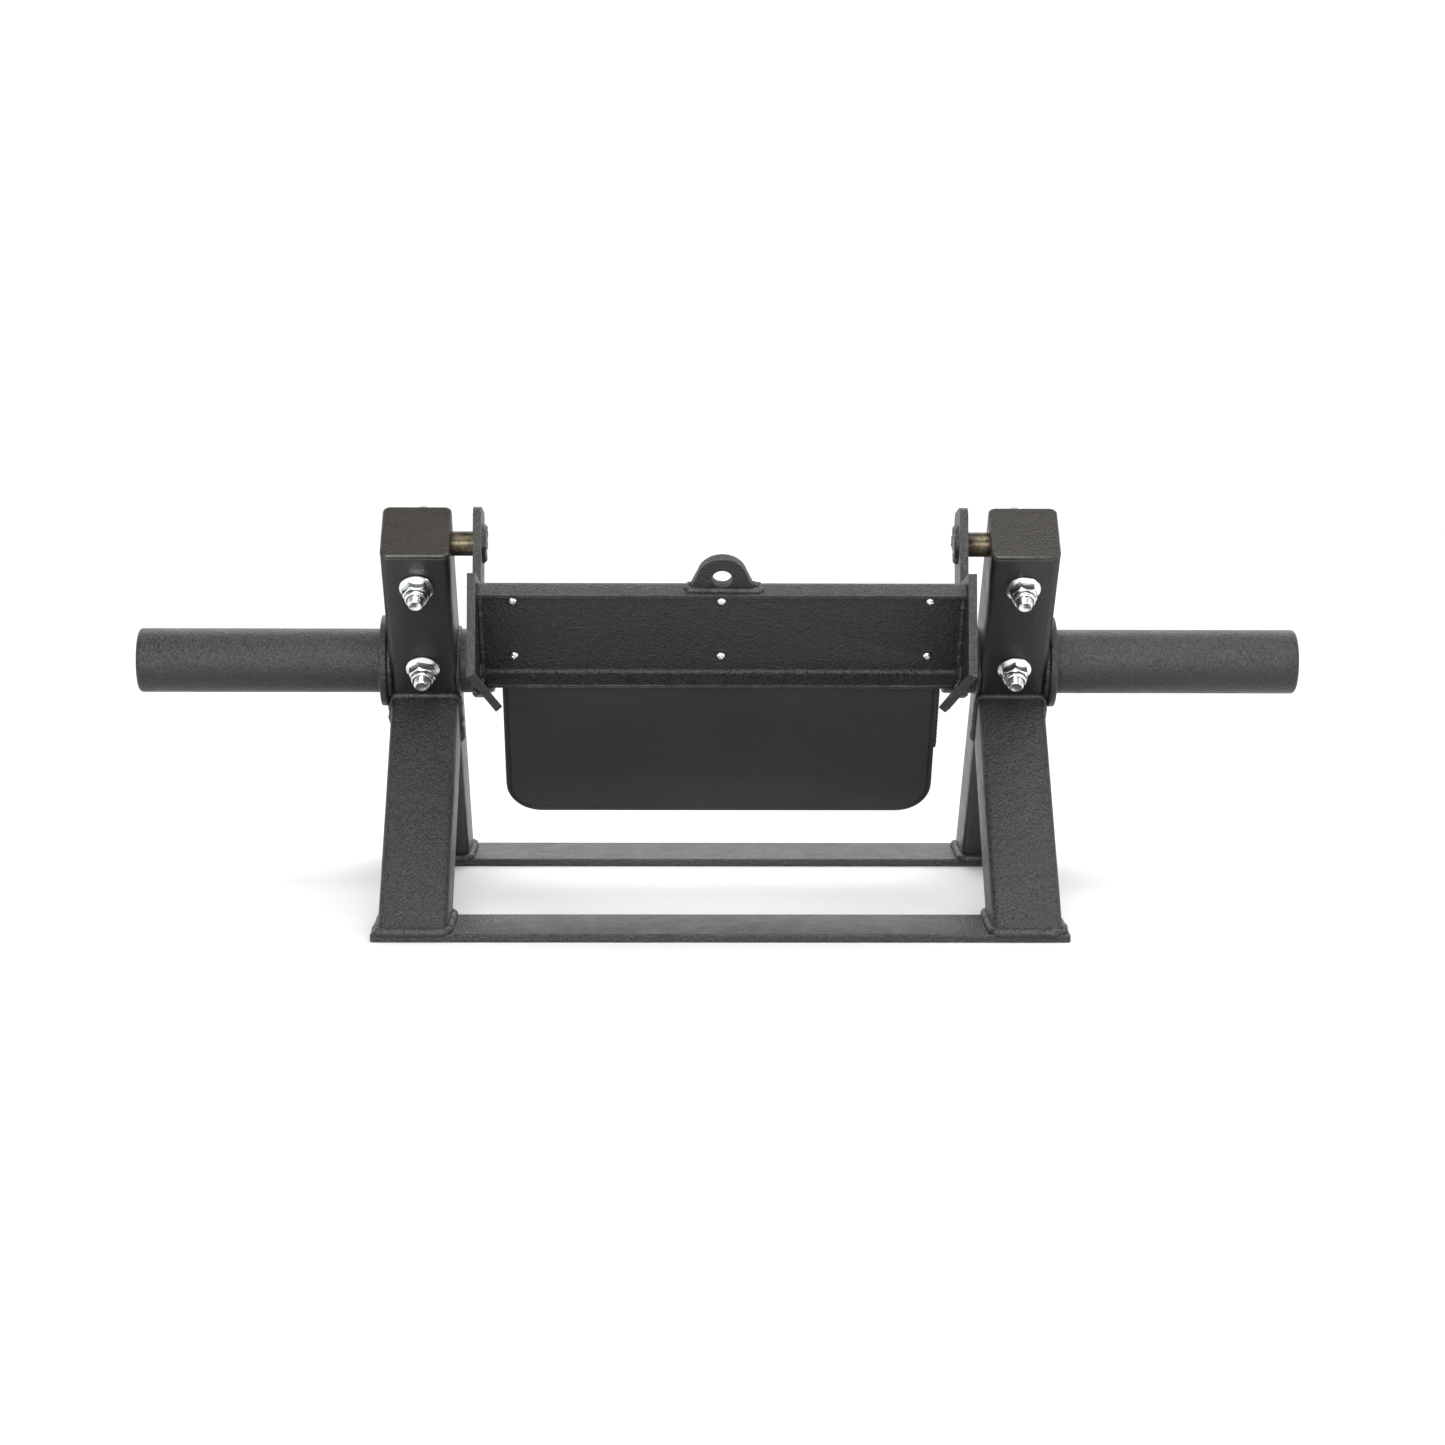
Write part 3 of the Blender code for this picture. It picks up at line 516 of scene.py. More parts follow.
# ------------------------------------------------------------ sleeves and collars
SLEEVE_R, COLLAR_R, COLLAR_T = 0.024, 0.034, 0.005
SLEEVE_EDGE, STUB_EDGE = 0.0032, 0.0028                       # rounded rims of the closed ends
COLLAR_EDGE, COLLAR_BREAK = 0.0008, 0.0002                    # bevel of the collar's rims
CENTRE_R = 0.010                                              # flat middle of a sleeve's end
DIMPLE_R, DIMPLE_DEEP = 0.0045, 0.0018                        # centre hole in a stub's end
for side, tag in SIDES:
    out = X * side
    hub = middle("collar_" + tag)
    face = abs(post_high.x)                                   # the post's outer side
    axis_at = Vector((0, hub.y, hub.z))
    long = x_span("sleeve_plug_" + tag)[1] - face - GAP
    sleeve = turned("plate_sleeve_" + tag, axis_at + out * (face + GAP), out,
                    [(0, SLEEVE_R)] + fillet(long, SLEEVE_R, SLEEVE_EDGE) + [(long, CENTRE_R)],
                    FRAME_BLACK, STAND, "frame_black")
    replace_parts(sleeve, "sleeve_" + tag, "sleeve_plug_" + tag)
    inner = x_span("collar_" + tag)[0]
    rim = COLLAR_R - COLLAR_EDGE
    bevel = COLLAR_R - 0.0003
    bore = SLEEVE_R - 0.001
    collar = turned("sleeve_collar_" + tag, axis_at + out * inner, out,
                    [(0.0, bore), (0.0, rim), (COLLAR_BREAK, bevel), (COLLAR_EDGE, COLLAR_R),
                     (COLLAR_T - COLLAR_EDGE, COLLAR_R), (COLLAR_T - COLLAR_BREAK, bevel),
                     (COLLAR_T, rim), (COLLAR_T, bore)], FRAME_BLACK, STAND, "frame_black", closed=True)
    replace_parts(collar, "collar_" + tag)
    bead("collar_post", tag, circle(axis_at + out * (face + 0.0012), out, 0.0262), STAND, out)
    bead("collar_sleeve", tag, circle(axis_at + out * (inner + COLLAR_T + 0.0004), out, 0.0243),
         STAND, out)

    # stop stub behind the ear, a closed end of the same tube
    inner_face = POST_X - TUBE / 2
    reach = inner_face - x_span("stop_stub_" + tag)[0]
    stub = turned("stop_tube_" + tag, axis_at + out * (inner_face - GAP), -out,
                  [(0, SLEEVE_R)] + fillet(reach - GAP, SLEEVE_R, STUB_EDGE)
                  + [(reach - GAP, 0.006), (reach - DIMPLE_DEEP, DIMPLE_R)],
                  FRAME_BLACK, STAND, "frame_black")
    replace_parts(stub, "stop_stub_" + tag)
    bead("stub", tag, circle(axis_at + out * (inner_face - 0.0004), out, 0.0246), STAND, out)

# --------------------------------------------------------- welds of the stand
BEAD_LIFT = 0.0006                                            # a bead's middle, off the metal
CAP_SEAM = 0.0019                                             # below the cap's middle
PLUG_WELD = ((0.0, 0.0085), (0.0006, 0.0086), (0.0013, 0.0074), (0.0011, 0.0060), (0.0018, 0.0048),
             (0.0016, 0.0034), (0.0022, 0.0020), (0.0022, 0.0006))
for side, tag in SIDES:
    px = side * POST_X
    bead("post_foot", tag, [on_post(x, h, (BEAD_LIFT - h * POST_IN.z) / POST_UP.z)
                            for x, h in square_tube(px, BEAD_LIFT)], STAND)
    bead("leg_foot", tag, [on_leg(x, h, (BEAD_LIFT - h * LEG_IN.z) / LEG_UP.z)
                           for x, h in square_tube(px, 0.0004)], STAND)
    seat = []
    for x, h in square_tube(px, GAP):
        base = on_leg(x, h, 0) - POST_O
        seat.append(on_leg(x, h, (-BEAD_LIFT - base.dot(POST_IN)) / LEG_UP.dot(POST_IN)))
    bead("leg_post", tag, seat, STAND, POST_IN)
    rim = along_post(middle("post_cap_" + tag)) - CAP_SEAM
    bead("cap", tag, [on_post(x, h, rim) for x, h in square_tube(px, -BEAD_LIFT)], STAND, POST_UP,
         ripple=0.0022)
    for place in ("upper", "lower"):
        s = along_post(middle("lock_nut_%s_%s" % (place, tag)))
        turned("plug_weld_%s_%s" % (place, tag), on_post(px, TUBE - 0.0002, s), POST_IN, PLUG_WELD,
               WELD_SHEEN_BLACK, STAND, "frame_black", 48)

# ------------------------------------------------------------------ fasteners
BOLT_R, PITCH, THREAD_DEEP = 0.0060, 0.00175, 0.00062
STUD_PROUD = 0.0190          # past the post's front face
STUD_SUNK = 0.0004           # its other end, under the post's back face
NUT_FLATS, FLANGE_R, FLANGE_T = 0.018, 0.01275, 0.0014
HEX_TOP, NUT_HIGH = 0.0090, 0.0135
NUT_TURNS = (8.0, 23.0)      # degrees, upper and lower
BOLT_FLATS, BOLT_FLANGE = 0.015, 0.0101
PIN_R = 0.0090


def hexagon(flats, turn=0.0):
    """Radius of a hexagon over its flats, as a function of the angle."""
    def radius(a):
        return flats / 2 / math.cos((a + turn) % (math.pi / 3) - math.pi / 6)
    return radius


def limited(shape, largest, smallest=0.0):
    """A radius over the angle, kept between two limits."""
    return lambda a: max(smallest, min(shape(a), largest))


def flange_nut(name, seat, axis, turn):
    """Flanged lock nut: sloped flange, chamfered hexagon and the round collar of the insert."""
    shape = hexagon(NUT_FLATS, turn)
    bore = BOLT_R + 0.0001
    rim = FLANGE_R - 0.0003
    profile = [(0.0, bore), (0.0, FLANGE_R - 0.0006), (0.0003, FLANGE_R - 0.0001), (0.0009, FLANGE_R),
               (FLANGE_T, rim)]
    slope = (rim - NUT_FLATS / 2) / 0.0016
    for k in range(1, 8):
        z = FLANGE_T + 0.0019 * k / 7
        profile.append((z, limited(shape, 1.0, rim - slope * (z - FLANGE_T))))
    corner = NUT_FLATS / 2 / math.cos(math.pi / 6)
    for k in range(7):
        z = HEX_TOP - 0.0016 + 0.0016 * k / 6
        profile.append((z, limited(shape, corner + 0.0001 - 0.0012 * (k / 6) ** 1.6)))
    collar = NUT_FLATS / 2 - 0.0006
    profile += [(HEX_TOP + 0.0002, collar + 0.0003), (HEX_TOP + 0.0006, collar)]
    profile += fillet(NUT_HIGH, collar, 0.0018, 7)
    profile += [(NUT_HIGH - 0.0002, bore + 0.0012), (NUT_HIGH - 0.0009, bore + 0.0003),
                (NUT_HIGH - 0.0030, bore)]
    return turned(name, seat, axis, profile, ZINC, STAND, "zinc", 120, True, 32.0)


def threaded_stud(name, start, axis, length):
    """Stud threaded all along: a helical groove, and a chamfered, slightly hollow far end."""
    def at(z):
        def r(a):
            phase = (z / PITCH - a / (2 * math.pi)) % 1.0
            groove = THREAD_DEEP * (1 - abs(2 * phase - 1)) ** 1.3
            edge = max(0.0, z - (length - 0.0014))
            return min(BOLT_R - groove, BOLT_R - edge * 0.9)
        return r
    count = round(length / (PITCH / 9))
    profile = [(length * i / count, at(length * i / count)) for i in range(count + 1)]
    tip = BOLT_R - 0.0014
    profile += [(length + 0.0001, tip - 0.0004), (length - 0.0003, tip - 0.0011),
                (length - 0.0005, 0.0008)]
    return turned(name, start, axis, profile, ZINC, STAND, "zinc", 72, False, 50.0)


for side, tag in SIDES:
    px = side * POST_X
    for number, place in enumerate(("upper", "lower")):
        s = along_post(middle("lock_nut_%s_%s" % (place, tag)))
        turn = math.radians(NUT_TURNS[number] + 5.0 * side)
        nut = flange_nut("flange_nut_%s_%s" % (place, tag), on_post(px, -GAP, s), -POST_IN, turn)
        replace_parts(nut, "lock_nut_%s_%s" % (place, tag))
        stud = threaded_stud("stud_thread_%s_%s" % (place, tag), on_post(px, TUBE - STUD_SUNK, s),
                             -POST_IN, TUBE - STUD_SUNK + STUD_PROUD)
        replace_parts(stud, "frame_stud_%s_%s" % (place, tag))

    # head of the bolt that locks the pin, on the post's back face
    bolt = middle("pin_lock_bolt_" + tag)
    lock_x, s = bolt.x, along_post(bolt)
    shape = hexagon(BOLT_FLATS, 0.3)
    head = [(0.0, 0.0048), (0.0, 0.0102), (0.0005, 0.0105), (0.0014, BOLT_FLANGE)]
    head += [(0.0014 + 0.0022 * k / 5, limited(shape, 1.0, BOLT_FLANGE - 0.0026 * k / 5))
             for k in range(1, 6)]
    head += [(0.0080 + 0.0014 * k / 5, limited(shape, 0.00868 - 0.0011 * (k / 5) ** 1.5))
             for k in range(6)]
    head += [(0.0094, 0.0062), (0.0091, 0.0058), (0.0091, 0.0010)]
    lock = turned("lock_bolt_head_" + tag, on_post(lock_x, TUBE + GAP, s), POST_IN, head,
                  ZINC, STAND, "zinc", 96, False, 32.0)
    turned("lock_bolt_shank_" + tag, on_post(lock_x, TUBE + 0.0006, s), -POST_IN,
           [(0.0, 0.0049), (0.0100, 0.0049), (0.0110, 0.0040)], ZINC, STAND, "zinc", 48)
    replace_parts(lock, "pin_lock_bolt_" + tag)

    # pivot pin with its lathe chamfers
    inner, outer = x_span("pivot_pin_" + tag)
    long = outer - inner
    pin = turned("pivot_pin_turned_" + tag, PIN + X * side * inner, X * side,
                 [(0.0004, 0.0012), (0.0, 0.0026), (0.0, PIN_R - 0.0012), (0.0003, PIN_R - 0.0006),
                  (0.0010, PIN_R), (long - 0.0010, PIN_R), (long - 0.0003, PIN_R - 0.0006),
                  (long, PIN_R - 0.0012)],
                 PIN_STEEL, PAD_FRAME, "pin_steel")
    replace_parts(pin, "pivot_pin_" + tag)

# ------------------------------------------------------- welds of the pad frame
half_channel = abs(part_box("cross_channel")[0].x)
EAR_HALF = 0.025
EAR_SEAM = (-0.034, -0.107)                                   # its ends, up from the pin
EAR_FOOT = (-0.1105, -0.1095)
for side, tag in SIDES:
    x_in = side * (EAR_OUT - PLATE_T)
    out = X * side
    bead("pin_ear", tag, circle(PIN + out * (abs(x_in) - 0.0002), out, 0.0112), PAD_FRAME, out)
    inset = 0.0007
    x_weld = side * (half_channel - inset)
    trough = [on_web(x_weld, CHANNEL_T + inset, CHANNEL_F - 0.001),
              on_web(x_weld, CHANNEL_T + inset, CHANNEL_T + 0.002),
              on_web(x_weld, CHANNEL_T + 0.002, CHANNEL_T + inset),
              on_web(x_weld, CHANNEL_H - CHANNEL_T - 0.002, CHANNEL_T + inset),
              on_web(x_weld, CHANNEL_H - CHANNEL_T - inset, CHANNEL_T + 0.002),
              on_web(x_weld, CHANNEL_H - CHANNEL_T - inset, CHANNEL_F - 0.001)]
    bead("channel_inside", tag, trough, PAD_FRAME, out, False, 0.0042)
    back = [on_web(x_weld, 0.010, -0.0002), on_web(x_weld, CHANNEL_H - 0.012, -0.0002)]
    bead("channel_back", tag, back, PAD_FRAME, out, False)
    for face, spot in (("inner", x_in + side * 0.0004), ("outer", side * (EAR_OUT - 0.0002))):
        bead("ear_" + face, tag, [on_frame(spot, EAR_HALF, b) for b in EAR_SEAM], PAD_FRAME, out, False)
    foot = [on_frame(x_in + side * 0.0030, EAR_HALF - 0.0030, EAR_FOOT[0]),
            on_frame(x_in + side * 0.0030, EAR_HALF + 0.0050, EAR_FOOT[1])]
    bead("ear_foot", tag, foot, PAD_FRAME, out, False)

# eyelet base: a rough fillet all round the tab, with a run-out at its right end
eye_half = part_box("eyelet_tab")[1].x
mid = CHANNEL_F / 2
base = [on_web(-eye_half - 0.001, -0.0002, mid - PLATE_T / 2),
        on_web(-eye_half - 0.001, -0.0002, mid + PLATE_T / 2),
        on_web(eye_half + 0.004, -0.0002, mid + PLATE_T / 2 + 0.0010),
        on_web(eye_half + 0.003, -0.0002, mid - PLATE_T / 2)]
bead("eyelet", "", base, PAD_FRAME, WEB_UP, ripple=0.0036)

# ------------------------------------------------------------------ pad screws
SCREW_R, SHANK_R = 0.0032, 0.0018
HEAD_HIGH, CROSS_DEEP = 0.0024, 0.0012
CROSS_LONG, CROSS_WIDE = 0.0016, 0.00038                      # half of each


def pan_head(name, seat, axis, turn):
    """Pan head with a cross recess, and the top of its shank."""
    axis, across, up = axes_for(axis)
    rings, verts, faces = 14, [], []
    count = 64

    def height(x, y):
        dist = math.hypot(x, y) / SCREW_R
        dome = HEAD_HIGH * math.sqrt(max(0.0, 1 - 0.80 * dist ** 2.4))
        u, v = x * math.cos(turn) + y * math.sin(turn), y * math.cos(turn) - x * math.sin(turn)
        arm = min(max(abs(u) - CROSS_LONG, abs(v) - CROSS_WIDE),
                  max(abs(v) - CROSS_LONG, abs(u) - CROSS_WIDE))
        deep = max(0.0, min(1.0, 0.5 - arm / 0.00030))
        return dome - CROSS_DEEP * deep
    for k in range(rings, 0, -1):
        for i in range(count):
            a = 2 * math.pi * i / count
            x, y = SCREW_R * k / rings * math.cos(a), SCREW_R * k / rings * math.sin(a)
            verts.append(seat + across * x + up * y + axis * height(x, y))
    for k in range(rings - 1):
        faces += [(k * count + i, k * count + (i + 1) % count, (k + 1) * count + (i + 1) % count,
                   (k + 1) * count + i) for i in range(count)]
    faces.append(tuple(range((rings - 1) * count, rings * count)))
    start = len(verts)
    for z, r in ((0.0, SCREW_R), (0.0, SHANK_R), (-0.006, SHANK_R)):
        for i in range(count):
            a = 2 * math.pi * i / count
            verts.append(seat + (across * math.cos(a) + up * math.sin(a)) * r + axis * z)
    loops = [0, start, start + count, start + 2 * count]
    for a, b in zip(loops, loops[1:]):
        faces += [(a + i, a + (i + 1) % count, b + (i + 1) % count, b + i) for i in range(count)]
    faces.append(tuple(range(loops[-1], loops[-1] + count)))
    return piece(name, verts, faces, ZINC, PAD_FRAME, "zinc", 30.0)


for number in range(1, 7):
    node = "pad_screw_%d" % number
    x = middle(node).x
    spot = middle(node) - WEB_O
    down = -spot.dot(WEB_UP)
    seat = on_web(x, down, CHANNEL_T + GAP)
    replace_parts(pan_head("pan_screw_%d" % number, seat, WEB_OUT, 0.4 + 0.55 * number), node)

# ------------------------------------------------------------------------- pad
PAD_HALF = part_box("pad_cover")[1].x
PAD_FRONT = 0.0003           # behind the web's back face
PAD_TOP, PAD_BOTTOM = 0.0045, 0.225
PAD_CORNER, PAD_TOP_CORNER = 0.026, 0.006
PAD_SLOPE, PAD_TOP_ROLL = 0.84, 0.35
PAD_THICK, PAD_ROLL = 0.0516, 0.024
SEAM = 0.0031                # seam of the front panel, in from the pad's outline
CORNER_STEPS, ACROSS_STEPS, DOWN_STEPS = 5, 66, 44
DOWN_SPLIT = CHANNEL_H + 0.004                                # below the web the panel is free
FRONT_CROWN, BACK_CROWN = 0.0016, 0.0030
CLOTH = {"quality": 6, "mass": 0.25, "tension_stiffness": 12.0, "compression_stiffness": 12.0,
         "bending_stiffness": 1.5, "use_pressure": True, "uniform_pressure_force": 4.0,
         "vertex_group_mass": "held"}
CLOTH_FRAMES = 16
FRONT_PUFF, BACK_PUFF = 0.0012, 0.0045                        # furthest that a point may move


def arc(cx, cy, r, a0, a1):
    """Part of a rounded corner, without its last point."""
    return [(cx + r * math.cos(math.radians(a0 + (a1 - a0) * k / CORNER_STEPS)),
             cy + r * math.sin(math.radians(a0 + (a1 - a0) * k / CORNER_STEPS)))
            for k in range(CORNER_STEPS)]


def straight(a, b, steps):
    """Points from a to b, without b."""
    return [(a[0] + (b[0] - a[0]) * k / steps, a[1] + (b[1] - a[1]) * k / steps) for k in range(steps)]


def pad_outline(behind, inset=0.0, roll=0.0):
    """Outline as (x, down), from the middle of one corner to the next; four lists, one a side."""
    w = PAD_HALF - inset - roll
    top = PAD_TOP + PAD_SLOPE * behind + inset + PAD_TOP_ROLL * roll
    low = PAD_BOTTOM - inset - roll
    rt = max(PAD_TOP_CORNER - inset, 0.0025)
    rl = max(PAD_CORNER - inset - roll * 0.5, 0.006)
    upper = (arc(w - rt, top + rt, rt, -45, -90)
             + straight((w - rt, top), (-w + rt, top), ACROSS_STEPS)
             + arc(-w + rt, top + rt, rt, -90, -135))
    left = (arc(-w + rt, top + rt, rt, -135, -180)
            + straight((-w, top + rt), (-w, low - rl), DOWN_STEPS)
            + arc(-w + rl, low - rl, rl, 180, 135))
    lower = (arc(-w + rl, low - rl, rl, 135, 90)
             + straight((-w + rl, low), (w - rl, low), ACROSS_STEPS)
             + arc(w - rl, low - rl, rl, 90, 45))
    right = (arc(w - rl, low - rl, rl, 45, 0)
             + straight((w, low - rl), (w, top + rt), DOWN_STEPS)
             + arc(w - rt, top + rt, rt, 0, -45))
    return upper, left, lower, right


def panel(sides):
    """Grid over an outline, blended between its four sides."""
    upper, left, lower, right = sides
    top = upper + left[:1]
    west = left + lower[:1]
    bottom = lower + right[:1]
    east = right + upper[:1]
    nu, nv = len(upper), len(left)
    rows = []
    for j in range(1, nv):
        v = j / nv
        row = []
        for i in range(1, nu):
            u = i / nu
            t, b = Vector(top[i]), Vector(bottom[nu - i])
            e, w = Vector(east[nv - j]), Vector(west[j])
            corners = (Vector(top[0]) * (1 - u) * (1 - v) + Vector(top[nu]) * u * (1 - v)
                       + Vector(bottom[nu]) * (1 - u) * v + Vector(bottom[0]) * u * v)
            row.append(t * (1 - v) + b * v + e * (1 - u) + w * u - corners)
        rows.append(row)
    return rows, nu, nv


def panel_faces(loop, inner, nu, nv):
    """Faces of a grid whose border is a loop of vertex numbers."""
    total = len(loop)

    def at(i, j):
        if j == 0:
            return loop[i]
        if j == nv:
            return loop[nu + nv + (nu - i)]
        if i == 0:
            return loop[(2 * nu + nv + (nv - j)) % total]
        if i == nu:
            return loop[nu + j]
        return inner[j - 1][i - 1]
    return [(at(i, j), at(i + 1, j), at(i + 1, j + 1), at(i, j + 1))
            for j in range(nv) for i in range(nu)]


def crown(x, down, low, high, height):
    """Soft dome over the panel, level at its border."""
    u = max(0.0, 1 - (x / (PAD_HALF - 0.012)) ** 2)
    v = max(0.0, 1 - ((2 * down - low - high) / (high - low)) ** 2)
    return height * (u ** 0.5) * (v ** 0.5)


def build_pad():
    """Closed boxed cushion: seamed front panel, side band with a seam, rolled and crowned back."""
    shoulder = PAD_THICK - PAD_ROLL
    # inset from the outline, depth behind the front, roll inward, held or not
    profile = [(SEAM + 0.0060, 0.0, 0.0, 0), (SEAM + 0.0020, 0.0002, 0.0, 0),
               (SEAM + 0.0007, 0.0008, 0.0, 1), (SEAM, 0.0026, 0.0, 1),
               (SEAM - 0.0007, 0.0005, 0.0, 1), (SEAM - 0.0014, 0.0, 0.0, 1),
               (0.0008, 0.0007, 0.0, 1), (0.0002, 0.0020, 0.0, 1), (0.0, 0.0042, 0.0, 1),
               (0.0, 0.0100, 0.0, 0), (0.0, 0.0160, 0.0, 0), (0.0, shoulder - 0.0050, 0.0, 0),
               (0.0001, shoulder - 0.0018, 0.0, 1), (0.0002, shoulder - 0.0007, 0.0, 1),
               (0.0013, shoulder, 0.0, 1), (0.0002, shoulder + 0.0007, 0.0, 1),
               (0.0001, shoulder + 0.0020, 0.0, 1)]
    for k in range(2, 10):
        turn = math.pi / 2 * k / 9
        profile.append((0.0, shoulder + PAD_ROLL * math.sin(turn), PAD_ROLL * (1 - math.cos(turn)), 0))
    verts, faces, fixed, loops = [], [], [], []
    for inset, z, roll, pinned in profile:
        sides = pad_outline(z, inset, roll)
        loop = []
        for px, pd in (p for part in sides for p in part):
            loop.append(len(verts))
            verts.append((px, pd, z))
            fixed.append(pinned or (z < 0.004 and pd < DOWN_SPLIT))
        loops.append(loop)
    n = len(loops[0])
    for a, b in zip(loops, loops[1:]):
        faces += [(a[i], a[(i + 1) % n], b[(i + 1) % n], b[i]) for i in range(n)]
    for k, height in ((0, FRONT_CROWN), (-1, BACK_CROWN)):
        inset, z, roll, pinned = profile[k]
        rows, nu, nv = panel(pad_outline(z, inset, roll))
        inner = []
        for row in rows:
            line = []
            for point in row:
                line.append(len(verts))
                low = DOWN_SPLIT if k == 0 else PAD_TOP + PAD_SLOPE * z
                bulge = crown(point.x, point.y, low, PAD_BOTTOM - inset - roll, height)
                verts.append((point.x, point.y, z - bulge if k == 0 else z + bulge))
                fixed.append(k == 0 and point.y < DOWN_SPLIT)
            inner.append(line)
        faces += panel_faces(loops[k], inner, nu, nv)
    return verts, faces, fixed


def puff(obj, fixed, caps):
    """Cloth with a little pressure fills the cushion; each point moves no further than its cap."""
    mesh = obj.data
    before = [v.co.copy() for v in mesh.vertices]
    group = obj.vertex_groups.new(name="held")
    group.add([i for i, f in enumerate(fixed) if f], 1.0, "REPLACE")
    cloth = obj.modifiers.new("cloth", "CLOTH")
    for key, value in CLOTH.items():
        setattr(cloth.settings, key, value)
    cloth.settings.effector_weights.gravity = 0.0
    cloth.collision_settings.use_collision = False
    scene = bpy.context.scene
    for step in range(1, CLOTH_FRAMES + 1):
        scene.frame_set(step)
    done = obj.evaluated_get(bpy.context.evaluated_depsgraph_get()).to_mesh()
    after = [v.co.copy() for v in done.vertices]
    obj.modifiers.remove(cloth)
    scene.frame_set(1)
    for vert, old, new, cap in zip(mesh.vertices, before, after, caps):
        move = new - old
        if move.length > cap:
            move *= cap / move.length
        vert.co = old + move
    mesh.update()
    return max((v.co - b).length for v, b in zip(mesh.vertices, before))


verts, faces, fixed = build_pad()
world = [on_web(x, d, -PAD_FRONT - z) for x, d, z in verts]
pad_mesh = bpy.data.meshes.new("pad_upholstery")
pad_mesh.from_pydata([tuple(p) for p in world], [], faces)
bm = bmesh.new()
bm.from_mesh(pad_mesh)
bmesh.ops.recalc_face_normals(bm, faces=bm.faces)
if bm.calc_volume(signed=True) < 0:
    bmesh.ops.reverse_faces(bm, faces=bm.faces)
bm.to_mesh(pad_mesh)
bm.free()
pad = bpy.data.objects.new("pad_upholstery", pad_mesh)
bpy.context.scene.collection.objects.link(pad)
pad_mesh.materials.append(VINYL)
caps = [0.0 if held else (FRONT_PUFF if z < PAD_THICK - PAD_ROLL else BACK_PUFF)
        for held, (x, d, z) in zip(fixed, verts)]
print("pad puffed by", round(puff(pad, fixed, caps), 4))
for vert, held, (x, d, z) in zip(pad_mesh.vertices, fixed, verts):
    if not held:
        away = 0.00022 * noise.noise(vert.co * 28.0) + 0.00012 * noise.noise(vert.co * 75.0)
        vert.co += WEB_OUT * away
pad_mesh.shade_smooth()
sub = pad.modifiers.new("smooth", "SUBSURF")
sub.levels = sub.render_levels = 1
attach(pad, PAD_FRAME)
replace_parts(pad, "pad_cover", "pad_foam", "pad_backing", "pad_board")


STITCH, STITCH_GAP = 0.0030, 0.0011
THREAD_R, THREAD_LIFT = 0.00034, 0.00016


def stitches(name, path, up):
    """A row of arched thread stitches along a path, as one piece."""
    points, step = resample(path, 0.00025, False)
    verts, faces = [], []
    run = max(4, round(STITCH / step))
    skip = max(1, round(STITCH_GAP / step))
    parts, around = 7, 8
    i = 0
    while i + run < len(points):
        first = len(verts)
        for k in range(parts + 1):
            index = i + round(run * k / parts)
            p = points[index]
            t = (points[min(index + 1, len(points) - 1)] - points[index - 1]).normalized()
            side = t.cross(up).normalized()
            arch = math.sin(math.pi * k / parts)
            r = THREAD_R * (0.35 + 0.65 * arch ** 0.5)
            for j in range(around):
                a = 2 * math.pi * j / around
                high = THREAD_LIFT + 0.0002 * arch + r * math.sin(a)
                verts.append(p + up * high + side * (r * math.cos(a)))
        for k in range(parts):
            a, b = first + k * around, first + (k + 1) * around
            faces += [(a + j, a + (j + 1) % around, b + (j + 1) % around, b + j) for j in range(around)]
        faces.append(tuple(range(first, first + around)))
        faces.append(tuple(range(first + parts * around, first + (parts + 1) * around)))
        i += run + skip
    return piece(name, verts, faces, THREAD, PAD_FRAME, "vinyl", 80.0)


# overlapped end of the side band, sewn down on the right
FLAP_LOW, FLAP_HIGH, FLAP_NEAR, FLAP_FAR, FLAP_T = 0.034, 0.165, 0.0035, 0.0240, 0.0016


def flap_outline(inset):
    """Rounded outline of the flap as (depth, down)."""
    out, r = [], 0.004
    for cz, cd, a0 in ((FLAP_FAR - r, FLAP_HIGH - r, 0), (FLAP_NEAR + r, FLAP_HIGH - r, 90),
                       (FLAP_NEAR + r, FLAP_LOW + r, 180), (FLAP_FAR - r, FLAP_LOW + r, 270)):
        for k in range(7):
            a = math.radians(a0 + 15.0 * k)
            out.append((cz + (r - inset) * math.cos(a), cd + (r - inset) * math.sin(a)))
    return out


flap_rings = []
for height, inset in ((-0.0012, 0.0), (FLAP_T * 0.5, 0.0), (FLAP_T * 0.85, 0.0003), (FLAP_T, 0.0009),
                      (FLAP_T, 0.0018), (FLAP_T - 0.0004, 0.0023), (FLAP_T, 0.0029)):
    flap_rings.append([on_web(PAD_HALF + height, d, -PAD_FRONT - z) for z, d in flap_outline(inset)])
piece("pad_band_flap", *skin(flap_rings), VINYL_BACK, PAD_FRAME, "vinyl", 70.0)
edge = FLAP_NEAR + 0.0023
stitches("stitch_flap", [on_web(PAD_HALF + FLAP_T - 0.0002, d, -PAD_FRONT - edge)
                         for d in (FLAP_LOW + 0.003, FLAP_HIGH - 0.004)], X)
row = PAD_THICK - PAD_ROLL + 0.0045
for side, tag in SIDES:
    stitches("stitch_band_" + tag, [on_web(side * (PAD_HALF + 0.0004), d, -PAD_FRONT - row)
                                    for d in (PAD_TOP + 0.040, PAD_BOTTOM - 0.034)], X * side)

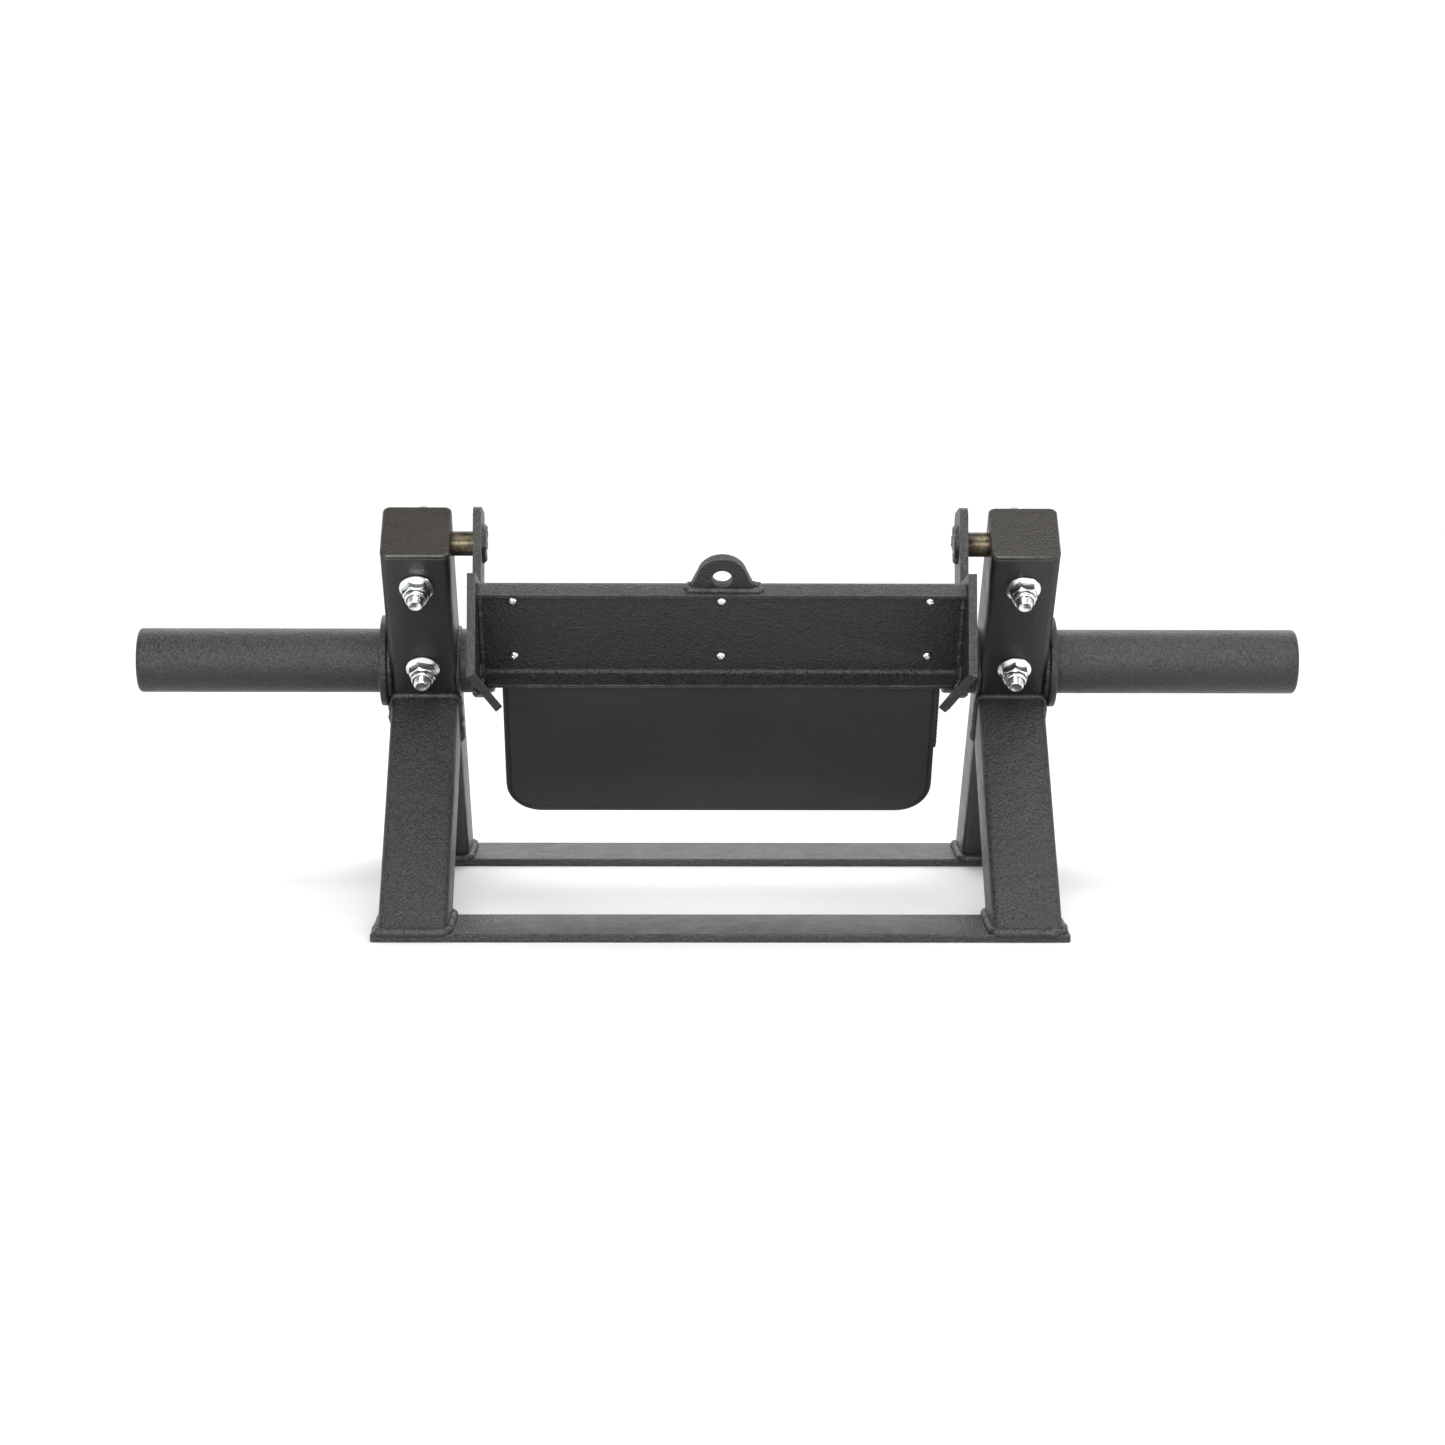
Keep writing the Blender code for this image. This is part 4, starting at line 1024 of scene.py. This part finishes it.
# ---------------------------------------------------------------- studio, camera
floor_mesh = bpy.data.meshes.new("studio_floor")
FLOOR_SIDE, FLOOR_NEAR, FLOOR_FAR = 4.0, 4.0, 3.0
floor_mesh.from_pydata([(-FLOOR_SIDE, -FLOOR_NEAR, 0), (FLOOR_SIDE, -FLOOR_NEAR, 0),
                        (FLOOR_SIDE, FLOOR_FAR, 0), (-FLOOR_SIDE, FLOOR_FAR, 0)], [], [(0, 1, 2, 3)])
floor = bpy.data.objects.new("studio_floor", floor_mesh)
bpy.context.scene.collection.objects.link(floor)
paper = Shader("studio_paper", Roughness=0.9)
paper.put("Base Color", paper.mix(paper.noise(3.0), rgb(0.84, 0.84, 0.84), rgb(0.86, 0.86, 0.86)))
floor_mesh.materials.append(paper.mat)


def softbox(name, place, target, wide, high, power):
    """Rectangular area light that faces a target."""
    light = bpy.data.lights.new(name, "AREA")
    light.shape = "RECTANGLE"
    light.size, light.size_y = wide, high
    light.energy = power
    obj = bpy.data.objects.new(name, light)
    bpy.context.scene.collection.objects.link(obj)
    obj.location = place
    obj.rotation_mode = "QUATERNION"
    obj.rotation_quaternion = (Vector(target) - Vector(place)).to_track_quat("-Z", "Y")


softbox("key_overhead", (0.25, -0.8, 2.2), (0, 0.1, 0), 2.2, 1.5, 40.0)
softbox("back_wash", (0.0, 2.6, 1.9), (0, 1.0, 0.0), 5.5, 1.6, 48.0)
softbox("front_fill", (-0.5, -3.2, 0.9), (0, 0, 0.15), 2.2, 0.9, 85.0)
softbox("right_strip", (2.2, -1.0, 1.1), (0.2, 0, 0.15), 0.8, 1.6, 14.0)

sky = bpy.data.worlds.new("studio")
sky.use_nodes = True
backdrop = sky.node_tree.nodes["Background"]
toward = sky.node_tree.nodes.new("ShaderNodeTexCoord")
split = sky.node_tree.nodes.new("ShaderNodeSeparateXYZ")
shade = sky.node_tree.nodes.new("ShaderNodeMapRange")
shade.interpolation_type = "SMOOTHSTEP"
for socket, value in (("From Min", -0.25), ("From Max", 0.75), ("To Min", 0.42), ("To Max", 1.08)):
    shade.inputs[socket].default_value = value
sky.node_tree.links.new(toward.outputs["Generated"], split.inputs["Vector"])
sky.node_tree.links.new(split.outputs["Y"], shade.inputs["Value"])
sky.node_tree.links.new(shade.outputs["Result"], backdrop.inputs["Strength"])
backdrop.inputs["Color"].default_value = rgb(1.0, 1.0, 1.0)
bpy.context.scene.world = sky
bpy.context.scene.view_settings.view_transform = "Standard"

CAMERA_AT = Vector((-0.03644, -2.46016, 0.53575))
SENSOR_MM, LENS_MM = 36.0, 86.62
YAW, PITCH_DOWN, ROLL = 0.0153, 0.1541, -0.0037
ahead = Vector((math.sin(YAW) * math.cos(PITCH_DOWN), math.cos(YAW) * math.cos(PITCH_DOWN),
                -math.sin(PITCH_DOWN)))
level = Vector((math.cos(YAW), -math.sin(YAW), 0))
under = ahead.cross(level)
right = level * math.cos(ROLL) + under * math.sin(ROLL)
down = under * math.cos(ROLL) - level * math.sin(ROLL)
lens = bpy.data.cameras.new("studio_camera")
lens.sensor_width = SENSOR_MM
lens.lens = LENS_MM
lens.clip_start, lens.clip_end = 0.05, 60.0
camera = bpy.data.objects.new("studio_camera", lens)
bpy.context.scene.collection.objects.link(camera)
aim = Matrix((right, -down, -ahead)).transposed().to_4x4()
camera.matrix_world = Matrix.Translation(CAMERA_AT) @ aim
bpy.context.scene.camera = camera
